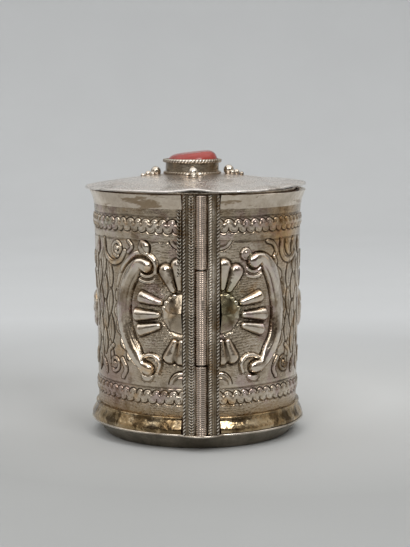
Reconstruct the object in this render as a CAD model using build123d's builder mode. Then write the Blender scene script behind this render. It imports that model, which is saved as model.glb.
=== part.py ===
"""Cylindrical ghau amulet box: two hinged half drums of embossed silver, a foot and a lift-off lid.

The box stands on Z = 0 with its axis on Z. The hinge is at the front, on -Y, and the
right half, on +X, swings about it. All sizes are in millimetres.
"""

import os
from math import asin, atan2, cos, degrees, hypot, radians, sin

from build123d import *

# Drum
foot_height = 4.6
base_thickness = 0.6
body_height = 70.5
wall_radius_bottom = 30.85
wall_taper = 1.25
panel_thickness = 0.6
sleeve_thickness = 0.5
seam_gap = 0.3
door_clearance = 0.2

# Flared collars at the two rims
top_collar_height = 4.2
top_flare = 1.4
bottom_collar_height = 4.8
bottom_flare = 2.05
bottom_rim_band = 1.0
collar_thickness = 0.6
collar_step = 0.3
collar_land = 0.8

# Braid bands of the embossed wall, measured from the nearer rim
braid_height = 4.4
braid_relief = 0.55
top_braid_drop = 6.7
bottom_braid_rise = 8.0

# Embossed rosettes, brackets and side bosses
rosette_height = 35.6
rosette_radius = 15.8
rosette_boss_radius = 6.6
rosette_boss_relief = 1.9
rosette_boss_sides = 8
petal_root_distance = 5.8
petal_root_width = 2.2
petal_tip_width = 4.3
petal_relief = 1.2
petal_angles = (85, 65, 21, 0, -21, -65, -85)
emboss_sink = 0.8
emboss_slope = 24
bracket_reach = 24.0
bracket_width = 6.4
bracket_half_height = 19.6
bracket_end_reach = 12.6
bracket_curl_radius = 2.7
bracket_relief = 0.95
side_boss_drop = 2.4
side_boss_radius = 6.2
side_boss_relief = 1.0
side_boss_sides = 12

# Hinge
barrel_radius = 1.75
barrel_back_gap = 0.15
barrel_clearance = 0.2
pin_radius = 0.75
pin_running_clearance = 0.05
pin_seat_clearance = 0.02
lower_knuckle_share = 0.294
upper_knuckle_share = 0.306
knuckle_gap = 0.25
web_front = 0.2
web_depth = 1.2

# Stiles along the seams and the wires on them
stile_width = 3.4
stile_proud = 0.2
panel_crack = 0.25
border_wire_radius = 0.32
plait_wire_radius = 0.4
rope_wire_radius = 0.6
wire_margin = 0.1

# Closing lip inside the rear seam
lip_width = 9.0
lip_overlap = 4.0
lip_thickness = 0.5
lip_clearance = 0.25
lip_end_margin = 2.0

# Foot
base_overhang = 0.3
hinge_tab_margin = 0.25
hinge_tab_radius = 8.5
foot_wall = 0.8
foot_setback = 1.1
foot_splay = 3.0
foot_edge_bevel = 1.2

# Lid
lid_overhang = 0.4
lid_rise = 3.75
lid_thickness = 0.6
lid_clearance = 0.15
lid_crown_radius = 10.2
lid_collar_clearance = 0.5
lid_collar_height = 5.0
lid_collar_thickness = 0.6

# Coral in its bezel
bezel_offset = -1.6
bezel_radius = 8.2
bezel_wall = 0.5
bezel_height = 4.1
bezel_foot_wire_size = 0.84
bezel_ring_size = 1.16
stone_clearance = 0.08
stone_height = 7.3
stone_crown_radius = 36.0
stone_peak_offset = 4.0
stone_edge_round = 1.2

# Granules on the lid
granule_ring_radius = 11.3
granule_count = 4
large_granule_radius = 1.35
medium_granule_radius = 0.85
small_granule_radius = 0.6
granule_gap = 0.06
granule_sink = 0.22
granule_sides = 6
granule_slope = 27
granule_flank_angle = 38

# Radii and heights that follow from the sizes above
wall_radius_top = wall_radius_bottom + wall_taper
top_flare_radius = wall_radius_top + top_flare
bottom_flare_radius = wall_radius_bottom + bottom_flare
barrel_axis_radius = wall_radius_top - panel_thickness + barrel_back_gap + barrel_radius
stile_face_radius = barrel_axis_radius + stile_proud
foot_top_radius = bottom_flare_radius - foot_setback
foot_bottom_radius = foot_top_radius - foot_splay
lid_radius = top_flare_radius + lid_overhang
rim_height = foot_height + base_thickness
top_height = rim_height + body_height
panel_bottom = rim_height + bottom_collar_height
panel_top = top_height - top_collar_height
lid_edge_height = top_height + lid_clearance
lid_slope = lid_rise / (lid_radius - lid_crown_radius)
lid_crown_height = lid_edge_height + lid_rise + lid_thickness
stile_inner = barrel_radius + barrel_clearance
front_reach = stile_inner + stile_width + panel_crack
rear_reach = seam_gap / 2 + stile_width + panel_crack
plan_reach = 2 * lid_radius

LEFT = -1
RIGHT = 1
FRONT = -1
REAR = 1


def wall_radius(z):
    """Radius of the plain ground of the embossed wall at height z."""
    share = (z - rim_height) / body_height
    return wall_radius_bottom + (wall_radius_top - wall_radius_bottom) * share


def sleeve_outside(z):
    """Outer radius of the plain inner sleeve at height z."""
    return wall_radius(z) - panel_thickness


def sleeve_inside(z):
    """Inner radius of the plain inner sleeve at height z."""
    return sleeve_outside(z) - sleeve_thickness


def half_floor(side):
    """Lowest height of a half: the left one stands on the base disc, the right one clears it."""
    return rim_height + (door_clearance if side == RIGHT else 0)


def keep_plan(side, front_edge, rear_edge):
    """Draws the plan of one half, from its front edge round to its rear edge."""
    for end, edge in ((FRONT, front_edge), (REAR, rear_edge)):
        span = plan_reach - edge
        with Locations((side * (edge + span / 2), end * plan_reach / 2)):
            Rectangle(span, plan_reach)


def sleeve_outline(side):
    """Section of the sleeve wall."""
    floor = half_floor(side)
    with BuildLine() as outline:
        Polyline(
            (sleeve_inside(floor), floor),
            (sleeve_outside(floor), floor),
            (sleeve_outside(top_height), top_height),
            (sleeve_inside(top_height), top_height),
            close=True,
        )
    return outline.line


def panel_outline():
    """Section of the embossed sheet, with the two rows of each braid band as flat topped beads."""
    row = braid_height / 2
    low = rim_height + bottom_braid_rise
    high = top_height - top_braid_drop - braid_height
    with BuildLine() as outline:
        last = (wall_radius(panel_bottom), panel_bottom)
        for band in (low, high):
            Line(last, (wall_radius(band), band))
            for start in (band, band + row):
                crest_low = start + row / 4
                crest_high = start + row * 3 / 4
                last = (wall_radius(start + row), start + row)
                Polyline(
                    (wall_radius(start), start),
                    (wall_radius(crest_low) + braid_relief, crest_low),
                    (wall_radius(crest_high) + braid_relief, crest_high),
                    last,
                )
        Polyline(
            last,
            (wall_radius(panel_top), panel_top),
            (sleeve_outside(panel_top), panel_top),
            (sleeve_outside(panel_bottom), panel_bottom),
            (wall_radius(panel_bottom), panel_bottom),
        )
    return outline.line


def top_collar_outline():
    """Section of the upper collar: a cavetto that flares to the rim from a land on the sleeve."""
    land = panel_top + collar_land
    foot = (wall_radius(panel_top) + collar_step, panel_top)
    rim = (top_flare_radius, top_height)
    inner_rim = (top_flare_radius - collar_thickness, top_height)
    with BuildLine() as outline:
        TangentArc(foot, rim, tangent=(0, 1))
        Polyline(
            rim,
            inner_rim,
            (sleeve_outside(land), land),
            (sleeve_outside(panel_top), panel_top),
            foot,
        )
    return outline.line


def bottom_collar_outline(side):
    """Section of the lower collar: an upright rim band that sweeps in to a land on the sleeve."""
    floor = half_floor(side)
    shoulder = rim_height + bottom_rim_band
    land = panel_bottom - collar_land
    neck = (wall_radius(panel_bottom) + collar_step, panel_bottom)
    inner_rim = bottom_flare_radius - collar_thickness
    with BuildLine() as outline:
        Line((bottom_flare_radius, floor), (bottom_flare_radius, shoulder))
        Spline((bottom_flare_radius, shoulder), neck, tangents=((0, 1), (0, 1)))
        Polyline(
            neck,
            (sleeve_outside(panel_bottom), panel_bottom),
            (sleeve_outside(land), land),
            (inner_rim, shoulder),
            (inner_rim, floor),
            (bottom_flare_radius, floor),
        )
    return outline.line


def half_turned(outline, side, front_edge, rear_edge):
    """One half of a turned ring.

    The section is carried round the axis and kept between its front and rear edges.
    """
    with BuildPart() as ring:
        with BuildSketch(Plane.XZ):
            add(outline)
            make_face()
        revolve(axis=Axis.Z)
        with BuildSketch(Plane.XY):
            keep_plan(side, front_edge, rear_edge)
        extrude(amount=top_height + foot_height, mode=Mode.INTERSECT)
    return ring.part


def wall_plane(side, end, reach, along, above, turn):
    """Plane on the embossed wall whose Z points outwards.

    The place is an arc length and a height from the rosette at the stile on that end,
    and the plane's X is turned by an angle from level.
    """
    height = rim_height + rosette_height + above
    radius = wall_radius(height)
    angle = asin(reach / radius) + along / radius
    outward = Vector(side * sin(angle), end * cos(angle), 0)
    level = Vector(side * cos(angle), -end * sin(angle), 0)
    upward = Vector(0, 0, 1)
    return Plane(
        origin=outward * radius + upward * height,
        x_dir=level * cos(radians(turn)) + upward * sin(radians(turn)),
        z_dir=outward,
    )


def petal(side, end, reach, turn):
    """One petal: a ridged drop, narrow at the rosette's boss and blunt at its outer end."""
    length = rosette_radius - petal_root_distance
    middle = (rosette_radius + petal_root_distance) / 2
    along = middle * cos(radians(turn))
    above = middle * sin(radians(turn))
    root = petal_root_width / 2
    tip = petal_tip_width / 2
    corner = tip / 2
    with BuildPart() as drop:
        with BuildSketch(wall_plane(side, end, reach, along, above, turn).offset(-emboss_sink)):
            with BuildLine():
                Polyline(
                    (-length / 2, -root),
                    (length / 2 - corner, -tip),
                    (length / 2, corner - tip),
                    (length / 2, tip - corner),
                    (length / 2 - corner, tip),
                    (-length / 2, root),
                    close=True,
                )
            make_face()
        extrude(amount=emboss_sink + petal_relief, taper=emboss_slope)
    return drop.part


def boss(place, radius, relief, sides):
    """Faceted boss of two tiers, half of its relief each, round a point of the wall."""
    tier = relief / 2
    with BuildPart() as facets:
        with BuildSketch(place.offset(-emboss_sink)):
            RegularPolygon(radius, sides)
        extrude(amount=emboss_sink + tier, taper=emboss_slope)
        with BuildSketch(place):
            RegularPolygon(radius * 2 / 3, sides)
        extrude(amount=relief, taper=emboss_slope)
    return facets.part


def bracket(side, end, reach):
    """C bracket between the rosette and the side boss, with a round curl at each end."""
    middle = (bracket_reach + bracket_end_reach) / 2
    place = wall_plane(side, end, reach, middle, 0, 0)
    outer = bracket_reach - middle
    inner = outer - bracket_width
    tail = bracket_end_reach - middle
    curl_height = bracket_half_height - bracket_curl_radius
    depth = bracket_reach
    with BuildPart() as emboss:
        with BuildSketch(place):
            with BuildLine():
                ThreePointArc((tail, -bracket_half_height), (outer, 0), (tail, bracket_half_height))
                Line((tail, bracket_half_height), (tail, curl_height))
                ThreePointArc((tail, curl_height), (inner, 0), (tail, -curl_height))
                Line((tail, -curl_height), (tail, -bracket_half_height))
            make_face()
            with Locations((tail, curl_height), (tail, -curl_height)):
                Circle(bracket_curl_radius)
        extrude(amount=depth, both=True)
        with BuildSketch(Plane.XZ):
            low = panel_bottom
            high = panel_top
            with BuildLine():
                Polyline(
                    (sleeve_outside(low), low),
                    (wall_radius(low) + bracket_relief, low),
                    (wall_radius(high) + bracket_relief, high),
                    (sleeve_outside(high), high),
                    close=True,
                )
            make_face()
        revolve(axis=Axis.Z, mode=Mode.INTERSECT)
    return emboss.part


def embossed_panel(side):
    """Half of the embossed wall: sheet and braid beads, half rosettes, brackets and the side boss."""
    with BuildPart() as panel:
        add(half_turned(panel_outline(), side, front_reach, rear_reach))
        for end, reach in ((FRONT, front_reach), (REAR, rear_reach)):
            for turn in petal_angles:
                add(petal(side, end, reach, turn))
            centre = wall_plane(side, end, reach, 0, 0, 0)
            add(boss(centre, rosette_boss_radius, rosette_boss_relief, rosette_boss_sides))
            add(bracket(side, end, reach))
        boss_height = rim_height + rosette_height - side_boss_drop
        boss_plane = Plane(
            origin=(side * wall_radius(boss_height), 0, boss_height), x_dir=(0, side, 0), z_dir=(side, 0, 0)
        )
        add(boss(boss_plane, side_boss_radius, side_boss_relief, side_boss_sides))
        add(sleeve_core.part, mode=Mode.SUBTRACT)
        with BuildSketch(Plane.XY):
            keep_plan(side, front_reach, rear_reach)
        extrude(amount=top_height, mode=Mode.INTERSECT)
    return panel.part


def stile(side, end, inner_edge):
    """Upright bar along a seam edge, flat in front and fitted to the sleeve behind."""
    floor = half_floor(side)
    depth = stile_face_radius / 2
    with BuildPart() as bar:
        with BuildSketch(Plane.XY.offset(floor)):
            with Locations((side * (inner_edge + stile_width / 2), end * (stile_face_radius - depth / 2))):
                Rectangle(stile_width, depth)
        extrude(amount=top_height - floor)
        add(sleeve_core.part, mode=Mode.SUBTRACT)
    return bar.part


def stile_wires(side, end, radius, places):
    """Half round wires laid on a stile's face, at distances from the seam."""
    floor = half_floor(side)
    centres = [(side * place, end * stile_face_radius) for place in places]
    with BuildPart() as wires:
        with BuildSketch(Plane.XY.offset(floor)):
            with Locations(*centres):
                Circle(radius)
            with Locations((0, end * (stile_face_radius - radius))):
                Rectangle(4 * front_reach, 2 * radius, mode=Mode.SUBTRACT)
        extrude(amount=top_height - floor)
    return wires.part


def knuckle(side, low, high, clearance):
    """Hinge knuckle: a tube round the pin with a web to the stile of its half."""
    with BuildPart() as tube:
        with BuildSketch(Plane.XY.offset(low)):
            with Locations((0, -barrel_axis_radius)):
                Circle(barrel_radius)
            with Locations((side * stile_inner / 2, -barrel_axis_radius + web_front + web_depth / 2)):
                Rectangle(stile_inner, web_depth)
            with Locations((0, -barrel_axis_radius)):
                Circle(pin_radius + clearance, mode=Mode.SUBTRACT)
        extrude(amount=high - low)
    return tube.part


def rear_strip(left_edge, right_edge, outside_gap):
    """Strip inside the rear of the sleeves, between two edges, as thick as the gap outside it leaves."""
    with BuildPart() as strip:
        with BuildSketch(Plane.XZ):
            with BuildLine():
                Polyline(
                    (sleeve_inside(lip_floor) - lip_depth, lip_floor),
                    (sleeve_inside(lip_floor) - outside_gap, lip_floor),
                    (sleeve_inside(lip_top) - outside_gap, lip_top),
                    (sleeve_inside(lip_top) - lip_depth, lip_top),
                    close=True,
                )
            make_face()
        revolve(axis=Axis.Z)
        with BuildSketch(Plane.XY):
            with Locations(((left_edge + right_edge) / 2, plan_reach / 2)):
                Rectangle(right_edge - left_edge, plan_reach)
        extrude(amount=top_height, mode=Mode.INTERSECT)
    return strip.part


def lid_surface(x, y):
    """Height of the lid's upper face."""
    return lid_crown_height - max(0, hypot(x, y) - lid_crown_radius) * lid_slope


def granule_planes(distance, radius, turn=0):
    """Level planes through the granules' middles round the bezel, one in each quarter, turned by an angle."""
    planes = []
    for index in range(granule_count):
        angle = radians(index * 360 / granule_count + turn)
        x = bezel_offset + distance * cos(angle)
        y = distance * sin(angle)
        planes.append(Plane((x, y, lid_surface(x, y) + radius * (1 - granule_sink))))
    return planes


def granules(planes, radius):
    """Faceted balls, each widest at its plane."""
    with BuildPart() as balls:
        with BuildSketch(*planes) as middles:
            RegularPolygon(radius, granule_sides)
        extrude(amount=radius, taper=granule_slope)
        extrude(middles.sketch, amount=-radius, taper=granule_slope)
    return balls.part


def bezel_wire(base, size):
    """Wire of square section with bevelled outer edges, round the bezel from a height above the crown."""
    bevel = size / 3
    place = Plane((bezel_offset, 0, lid_crown_height + base), x_dir=(1, 0, 0), z_dir=(0, -1, 0))
    with BuildPart() as wire:
        with BuildSketch(place):
            with BuildLine():
                Polyline(
                    (bezel_radius, 0),
                    (bezel_radius + size - bevel, 0),
                    (bezel_radius + size, bevel),
                    (bezel_radius + size, size - bevel),
                    (bezel_radius + size - bevel, size),
                    (bezel_radius, size),
                    close=True,
                )
            make_face()
        revolve(axis=Axis((bezel_offset, 0, 0), (0, 0, 1)))
    return wire.part


# Solid inside of the drum, as far as the back of the embossed sheet
with BuildPart() as sleeve_core:
    with BuildSketch(Plane.XZ):
        with BuildLine():
            Polyline(
                (0, 0),
                (sleeve_outside(0), 0),
                (sleeve_outside(2 * top_height), 2 * top_height),
                (0, 2 * top_height),
                close=True,
            )
        make_face()
    revolve(axis=Axis.Z)

# The two half drums
half_pieces = {}
for half_name, half_side in (("left", LEFT), ("right", RIGHT)):
    seam = seam_gap / 2
    half_pieces[f"{half_name}_sleeve"] = half_turned(sleeve_outline(half_side), half_side, seam, seam)
    half_pieces[f"{half_name}_panel"] = embossed_panel(half_side)
    half_pieces[f"{half_name}_top_collar"] = half_turned(
        top_collar_outline(), half_side, front_reach, rear_reach
    )
    half_pieces[f"{half_name}_bottom_collar"] = half_turned(
        bottom_collar_outline(half_side), half_side, front_reach, rear_reach
    )
    half_pieces[f"{half_name}_front_stile"] = stile(half_side, FRONT, stile_inner)
    half_pieces[f"{half_name}_rear_stile"] = stile(half_side, REAR, seam)

# Wires on the stiles
stile_outer = stile_inner + stile_width
plait_inner = stile_inner + wire_margin + plait_wire_radius
rope_place = stile_inner + wire_margin + rope_wire_radius
border_outer = stile_outer - wire_margin - border_wire_radius
border_inner = border_outer - 2 * border_wire_radius - wire_margin
rear_outer = seam_gap / 2 + stile_width - wire_margin - border_wire_radius
rear_plait = seam_gap / 2 + wire_margin + plait_wire_radius
plait_step = 2 * plait_wire_radius + wire_margin / 2
half_pieces["left_front_border_wires"] = stile_wires(
    LEFT, FRONT, border_wire_radius, (border_outer, border_inner)
)
half_pieces["left_front_plait_wires"] = stile_wires(
    LEFT, FRONT, plait_wire_radius, (plait_inner, plait_inner + plait_step)
)
half_pieces["right_front_rope_wire"] = stile_wires(RIGHT, FRONT, rope_wire_radius, (rope_place,))
half_pieces["right_front_bead_wire"] = stile_wires(RIGHT, FRONT, border_wire_radius, (border_inner,))
half_pieces["right_front_border_wire"] = stile_wires(RIGHT, FRONT, border_wire_radius, (border_outer,))
for half_name, half_side in (("left", LEFT), ("right", RIGHT)):
    half_pieces[f"{half_name}_rear_border_wire"] = stile_wires(
        half_side, REAR, border_wire_radius, (rear_outer,)
    )
    half_pieces[f"{half_name}_rear_plait_wires"] = stile_wires(
        half_side, REAR, plait_wire_radius, (rear_plait, rear_plait + plait_step)
    )

# Hinge knuckles: the lower and upper ones belong to the left half, the middle one to the right
lower_break = rim_height + body_height * lower_knuckle_share
upper_break = top_height - body_height * upper_knuckle_share
half_pieces["lower_knuckle"] = knuckle(LEFT, rim_height, lower_break - knuckle_gap / 2, pin_seat_clearance)
half_pieces["upper_knuckle"] = knuckle(LEFT, upper_break + knuckle_gap / 2, top_height, pin_seat_clearance)
half_pieces["middle_knuckle"] = knuckle(
    RIGHT, lower_break + knuckle_gap / 2, upper_break - knuckle_gap / 2, pin_running_clearance
)

# Hinge pin
with BuildPart() as hinge_pin:
    with BuildSketch(Plane.XY.offset(rim_height)):
        with Locations((0, -barrel_axis_radius)):
            Circle(pin_radius)
    extrude(amount=body_height)

# Closing lip: seated inside the right sleeve, its tongue slips inside the left one
lip_floor = half_floor(RIGHT) + lip_end_margin
lip_top = top_height - lid_collar_height - lip_end_margin
lip_depth = lip_clearance + lip_thickness
with BuildPart() as closing_lip:
    for left_edge, right_edge, outside_gap in (
        (-lip_overlap, lip_width - lip_overlap, lip_clearance),
        (seam_gap / 2, lip_width - lip_overlap, 0),
    ):
        add(rear_strip(left_edge, right_edge, outside_gap))

# Base disc with a round bulge under the hinge barrel
with BuildPart() as base_disc:
    with BuildSketch(Plane.XY.offset(foot_height)):
        Circle(bottom_flare_radius + base_overhang)
        tab_front = barrel_axis_radius + barrel_radius + hinge_tab_margin
        with Locations((0, hinge_tab_radius - tab_front)):
            Circle(hinge_tab_radius)
    extrude(amount=base_thickness)

# Foot pan: a shallow dish of blackened sheet under the base disc
with BuildPart() as foot_pan:
    with BuildSketch(Plane.XZ):
        with BuildLine():
            Polyline(
                (0, 0),
                (foot_bottom_radius - foot_edge_bevel, 0),
                (foot_bottom_radius, foot_edge_bevel),
                (foot_top_radius, foot_height),
                (foot_top_radius - foot_wall, foot_height),
                (foot_bottom_radius - foot_wall, foot_edge_bevel),
                (foot_bottom_radius - foot_edge_bevel - foot_wall / 2, foot_wall),
                (0, foot_wall),
                close=True,
            )
        make_face()
    revolve(axis=Axis.Z)

# Lid sheet: a low cone with a flat crown for the bezel
with BuildPart() as lid_cone:
    with BuildSketch(Plane.XZ):
        with BuildLine():
            crown_under = lid_crown_height - lid_thickness
            Polyline(
                (0, crown_under),
                (lid_crown_radius, crown_under),
                (lid_radius, lid_edge_height),
                (lid_radius, lid_edge_height + lid_thickness),
                (lid_crown_radius, lid_crown_height),
                (0, lid_crown_height),
                close=True,
            )
        make_face()
    revolve(axis=Axis.Z)

# Lid collar: a ring that drops inside the sleeves and keeps the lid central
with BuildPart() as lid_collar:
    collar_floor = top_height - lid_collar_height
    collar_outside = sleeve_inside(collar_floor) - lid_collar_clearance
    collar_inside = collar_outside - lid_collar_thickness
    with BuildSketch(Plane.XZ):
        with BuildLine():
            Polyline(
                (collar_inside, collar_floor),
                (collar_outside, collar_floor),
                (collar_outside, lid_edge_height + (lid_radius - collar_outside) * lid_slope),
                (collar_inside, lid_edge_height + (lid_radius - collar_inside) * lid_slope),
                close=True,
            )
        make_face()
    revolve(axis=Axis.Z)

# Bezel cup
with BuildPart() as bezel_cup:
    with BuildSketch(Plane.XY.offset(lid_crown_height)):
        with Locations((bezel_offset, 0)):
            Circle(bezel_radius)
            Circle(bezel_radius - bezel_wall, mode=Mode.SUBTRACT)
    extrude(amount=bezel_height)

# Coral cabochon: a tilted crown, highest towards the right
with BuildPart() as coral_cabochon:
    with BuildSketch(Plane.XY.offset(lid_crown_height)):
        with Locations((bezel_offset, 0)):
            Circle(bezel_radius - bezel_wall - stone_clearance)
    extrude(amount=2 * stone_height)
    crown_centre = lid_crown_height + stone_height - stone_crown_radius
    with Locations((bezel_offset + stone_peak_offset, 0, crown_centre)):
        Sphere(stone_crown_radius, mode=Mode.INTERSECT)
    shoulder = coral_cabochon.faces().filter_by(GeomType.SPHERE).edges().filter_by(GeomType.BSPLINE)
    fillet(shoulder, radius=stone_edge_round)

# Large granules, one in each quarter
with BuildPart() as large_granules:
    add(granules(granule_planes(granule_ring_radius, large_granule_radius), large_granule_radius))
    add(lid_cone.part, mode=Mode.SUBTRACT)

# Small granules: two that trail outwards from each large one and two beside it
with BuildPart() as small_granules:
    medium_distance = granule_ring_radius + large_granule_radius + medium_granule_radius + granule_gap
    small_distance = medium_distance + medium_granule_radius + small_granule_radius + granule_gap
    flank = large_granule_radius + small_granule_radius + granule_gap
    flank_turn = radians(granule_flank_angle)
    flank_out = granule_ring_radius + flank * sin(flank_turn)
    flank_side = flank * cos(flank_turn)
    flank_distance = hypot(flank_out, flank_side)
    flank_angle = degrees(atan2(flank_side, flank_out))
    add(granules(granule_planes(medium_distance, medium_granule_radius), medium_granule_radius))
    for distance, turn in (
        (small_distance, 0),
        (flank_distance, flank_angle),
        (flank_distance, -flank_angle),
    ):
        add(granules(granule_planes(distance, small_granule_radius, turn), small_granule_radius))
    add(lid_cone.part, mode=Mode.SUBTRACT)

pieces = dict(half_pieces)
pieces["hinge_pin"] = hinge_pin.part
pieces["closing_lip"] = closing_lip.part
pieces["base_disc"] = base_disc.part
pieces["foot_pan"] = foot_pan.part
pieces["lid_cone"] = lid_cone.part
pieces["lid_collar"] = lid_collar.part
pieces["bezel_cup"] = bezel_cup.part
pieces["bezel_foot_wire"] = bezel_wire(0, bezel_foot_wire_size)
pieces["bezel_milled_ring"] = bezel_wire(bezel_height - bezel_ring_size / 2, bezel_ring_size)
pieces["coral_cabochon"] = coral_cabochon.part
pieces["large_granules"] = large_granules.part
pieces["small_granules"] = small_granules.part

os.makedirs("parts", exist_ok=True)
for name, piece in pieces.items():
    piece.label = name
    export_step(piece, f"parts/{name}.step")
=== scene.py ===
"""Silver ghau amulet box: the looks of every piece, the studio and the camera.

Sizes are millimetres in the object's frame until a mesh is made, where they become metres.
The box stands on Z = 0 with its hinge at the front, on -Y.
"""

import logging
from dataclasses import dataclass
from enum import Enum
from math import asin, atan2, cos, pi, radians, sin
from typing import Any, Optional, Sequence

import bpy
import numpy as np
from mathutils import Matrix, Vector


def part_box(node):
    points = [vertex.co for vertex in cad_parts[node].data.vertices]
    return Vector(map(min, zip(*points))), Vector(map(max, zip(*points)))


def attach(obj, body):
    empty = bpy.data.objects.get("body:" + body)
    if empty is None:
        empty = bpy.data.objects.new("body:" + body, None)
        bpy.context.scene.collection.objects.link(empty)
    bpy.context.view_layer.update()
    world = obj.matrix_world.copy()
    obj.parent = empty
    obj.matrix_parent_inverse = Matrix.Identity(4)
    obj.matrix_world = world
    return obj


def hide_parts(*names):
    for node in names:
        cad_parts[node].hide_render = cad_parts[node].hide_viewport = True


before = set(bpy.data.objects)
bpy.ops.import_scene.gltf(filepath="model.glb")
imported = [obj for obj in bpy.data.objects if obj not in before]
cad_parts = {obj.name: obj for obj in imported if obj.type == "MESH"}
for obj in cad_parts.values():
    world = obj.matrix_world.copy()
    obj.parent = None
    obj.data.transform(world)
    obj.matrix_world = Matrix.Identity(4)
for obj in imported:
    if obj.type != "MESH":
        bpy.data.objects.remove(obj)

LOG = logging.getLogger("ghau_box")
MM = 0.001
# Distance in millimetres that no punched line reaches
FAR = 9.0
Array = np.ndarray
Piece = bpy.types.Object
Point = tuple[float, float]
Place = tuple[float, float, float]
Pair = tuple[float, float]
Triple = tuple[float, float, float]


class Side(Enum):
    """Half of the drum, with its direction along X."""

    LEFT = -1
    RIGHT = 1

    @property
    def label(self) -> str:
        """Prefix of the half's node names."""
        return self.name.lower()

    @property
    def body(self) -> str:
        """Body that the half belongs to."""
        return f"{self.label}_half"


class End(Enum):
    """End of a half where it meets the other one, with its direction along Y."""

    FRONT = -1
    REAR = 1


class Band(Enum):
    """Height band of the embossed sheet, with the end of its pieces' names."""

    FIELD = "field"
    TOP = "top_band"
    BOTTOM = "bottom_band"


@dataclass(frozen=True)
class Drum:
    """Sizes that the pieces share, as the solids have them."""

    rim: float = 5.2
    top: float = 75.7
    wall_bottom: float = 30.85
    wall_taper: float = 1.25
    sheet: float = 0.6
    sleeve: float = 0.5
    door_clearance: float = 0.2
    front_reach: float = 5.6
    rear_reach: float = 3.8
    barrel_radius: float = 1.75
    barrel_axis: float = 33.4
    stile_face: float = 33.6
    seam: float = 0.15
    lid_crown: float = 80.2
    crown_radius: float = 10.2
    cone_rise: float = 3.75
    bezel_x: float = -1.6
    bezel_radius: float = 8.2
    bezel_height: float = 4.1

    def wall(self, z: Any) -> Any:
        """Radius of the wall's plain ground at height z."""
        return self.wall_bottom + self.wall_taper * (z - self.rim) / (self.top - self.rim)

    def floor(self, side: Side) -> float:
        """Lowest height of a half: the right one clears the base disc."""
        return self.rim + (self.door_clearance if side is Side.RIGHT else 0.0)

    def sweep(self, radius: float) -> tuple[float, float]:
        """Angles from the front, at a radius, where the sheet of a half starts and ends."""
        return asin(self.front_reach / radius), pi - asin(self.rear_reach / radius)


DRUM = Drum()


def linear(code: str) -> tuple[float, float, float, float]:
    """Turns an sRGB hex colour into a linear one.

    Args:
        code: Six hex digits, with or without a leading hash.

    Returns:
        Red, green, blue and alpha.
    """
    parts = [int(code.lstrip("#")[i : i + 2], 16) / 255 for i in (0, 2, 4)]
    red, green, blue = [p / 12.92 if p <= 0.04045 else ((p + 0.055) / 1.055) ** 2.4 for p in parts]
    return red, green, blue, 1.0


def smoothstep(value: Any, low: float, high: float) -> Any:
    """Eases from 0 at low to 1 at high by 3t^2 - 2t^3."""
    t = np.clip((value - low) / (high - low), 0.0, 1.0)
    return t * t * (3 - 2 * t)


def lumps(a: Any, b: Any, seed: float) -> Any:
    """Soft hand-made unevenness: the mean of four crossed sine waves.

    Args:
        a: First coordinate, in radians of the longest wave.
        b: Second coordinate.
        seed: Which unevenness.

    Returns:
        Values from -1 to 1.
    """
    total = 0.0
    for k in range(4):
        turn = seed + 2.4 * k
        total = total + np.sin((a * cos(turn) + b * sin(turn)) * (1 + 0.37 * k) + 3 * turn)
    return total / 4


def curve(points: Sequence[Point], count: int = 48) -> Array:
    """Smooth path through points, as a Catmull-Rom spline.

    Args:
        points: Places that the path goes through.
        count: Number of points on the path.

    Returns:
        The path as a (count, 2) array.
    """
    p = np.asarray(points, float)
    last = len(p) - 1
    p = np.vstack([2 * p[0] - p[1], p, 2 * p[-1] - p[-2]])
    t = np.linspace(0, last, count)
    i = np.minimum(t.astype(int), last - 1)
    f = (t - i)[:, None]
    a, b, c, d = p[i], p[i + 1], p[i + 2], p[i + 3]
    return 0.5 * (2 * b + (c - a) * f + (2 * a - 5 * b + 4 * c - d) * f**2 + (3 * b - a - 3 * c + d) * f**3)


def spiral(centre: Point, inner: float, outer: float, start: float, turns: float) -> Array:
    """Path of a volute: the radius grows evenly with the angle.

    Args:
        centre: Eye of the volute.
        inner: Radius at the eye.
        outer: Radius at the end.
        start: Angle at the eye in degrees.
        turns: Number of turns, negative for clockwise.

    Returns:
        The path as an (n, 2) array.
    """
    t = np.linspace(0, 1, 44)
    angle = radians(start) + 2 * pi * turns * t
    radius = inner + (outer - inner) * t
    return np.column_stack([centre[0] + radius * np.cos(angle), centre[1] + radius * np.sin(angle)])


def mirrored(field: Array) -> Array:
    """A grid with its mirror image after it, the last row shared."""
    return np.vstack([field, field[-2::-1]])


def blur(field: Array, cells: int) -> Array:
    """Box average of a grid, twice along each axis, with its edge values carried on.

    Args:
        field: Grid of values.
        cells: How many neighbours on each side are averaged.

    Returns:
        The soft grid.
    """
    for axis in (0, 1, 0, 1):
        pad = [(0, 0), (0, 0)]
        pad[axis] = (cells + 1, cells)
        total = np.cumsum(np.pad(field, pad, mode="edge"), axis=axis)
        length = field.shape[axis]
        high = np.take(total, range(2 * cells + 1, 2 * cells + 1 + length), axis=axis)
        low = np.take(total, range(0, length), axis=axis)
        field = (high - low) / (2 * cells + 1)
    return field


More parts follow.
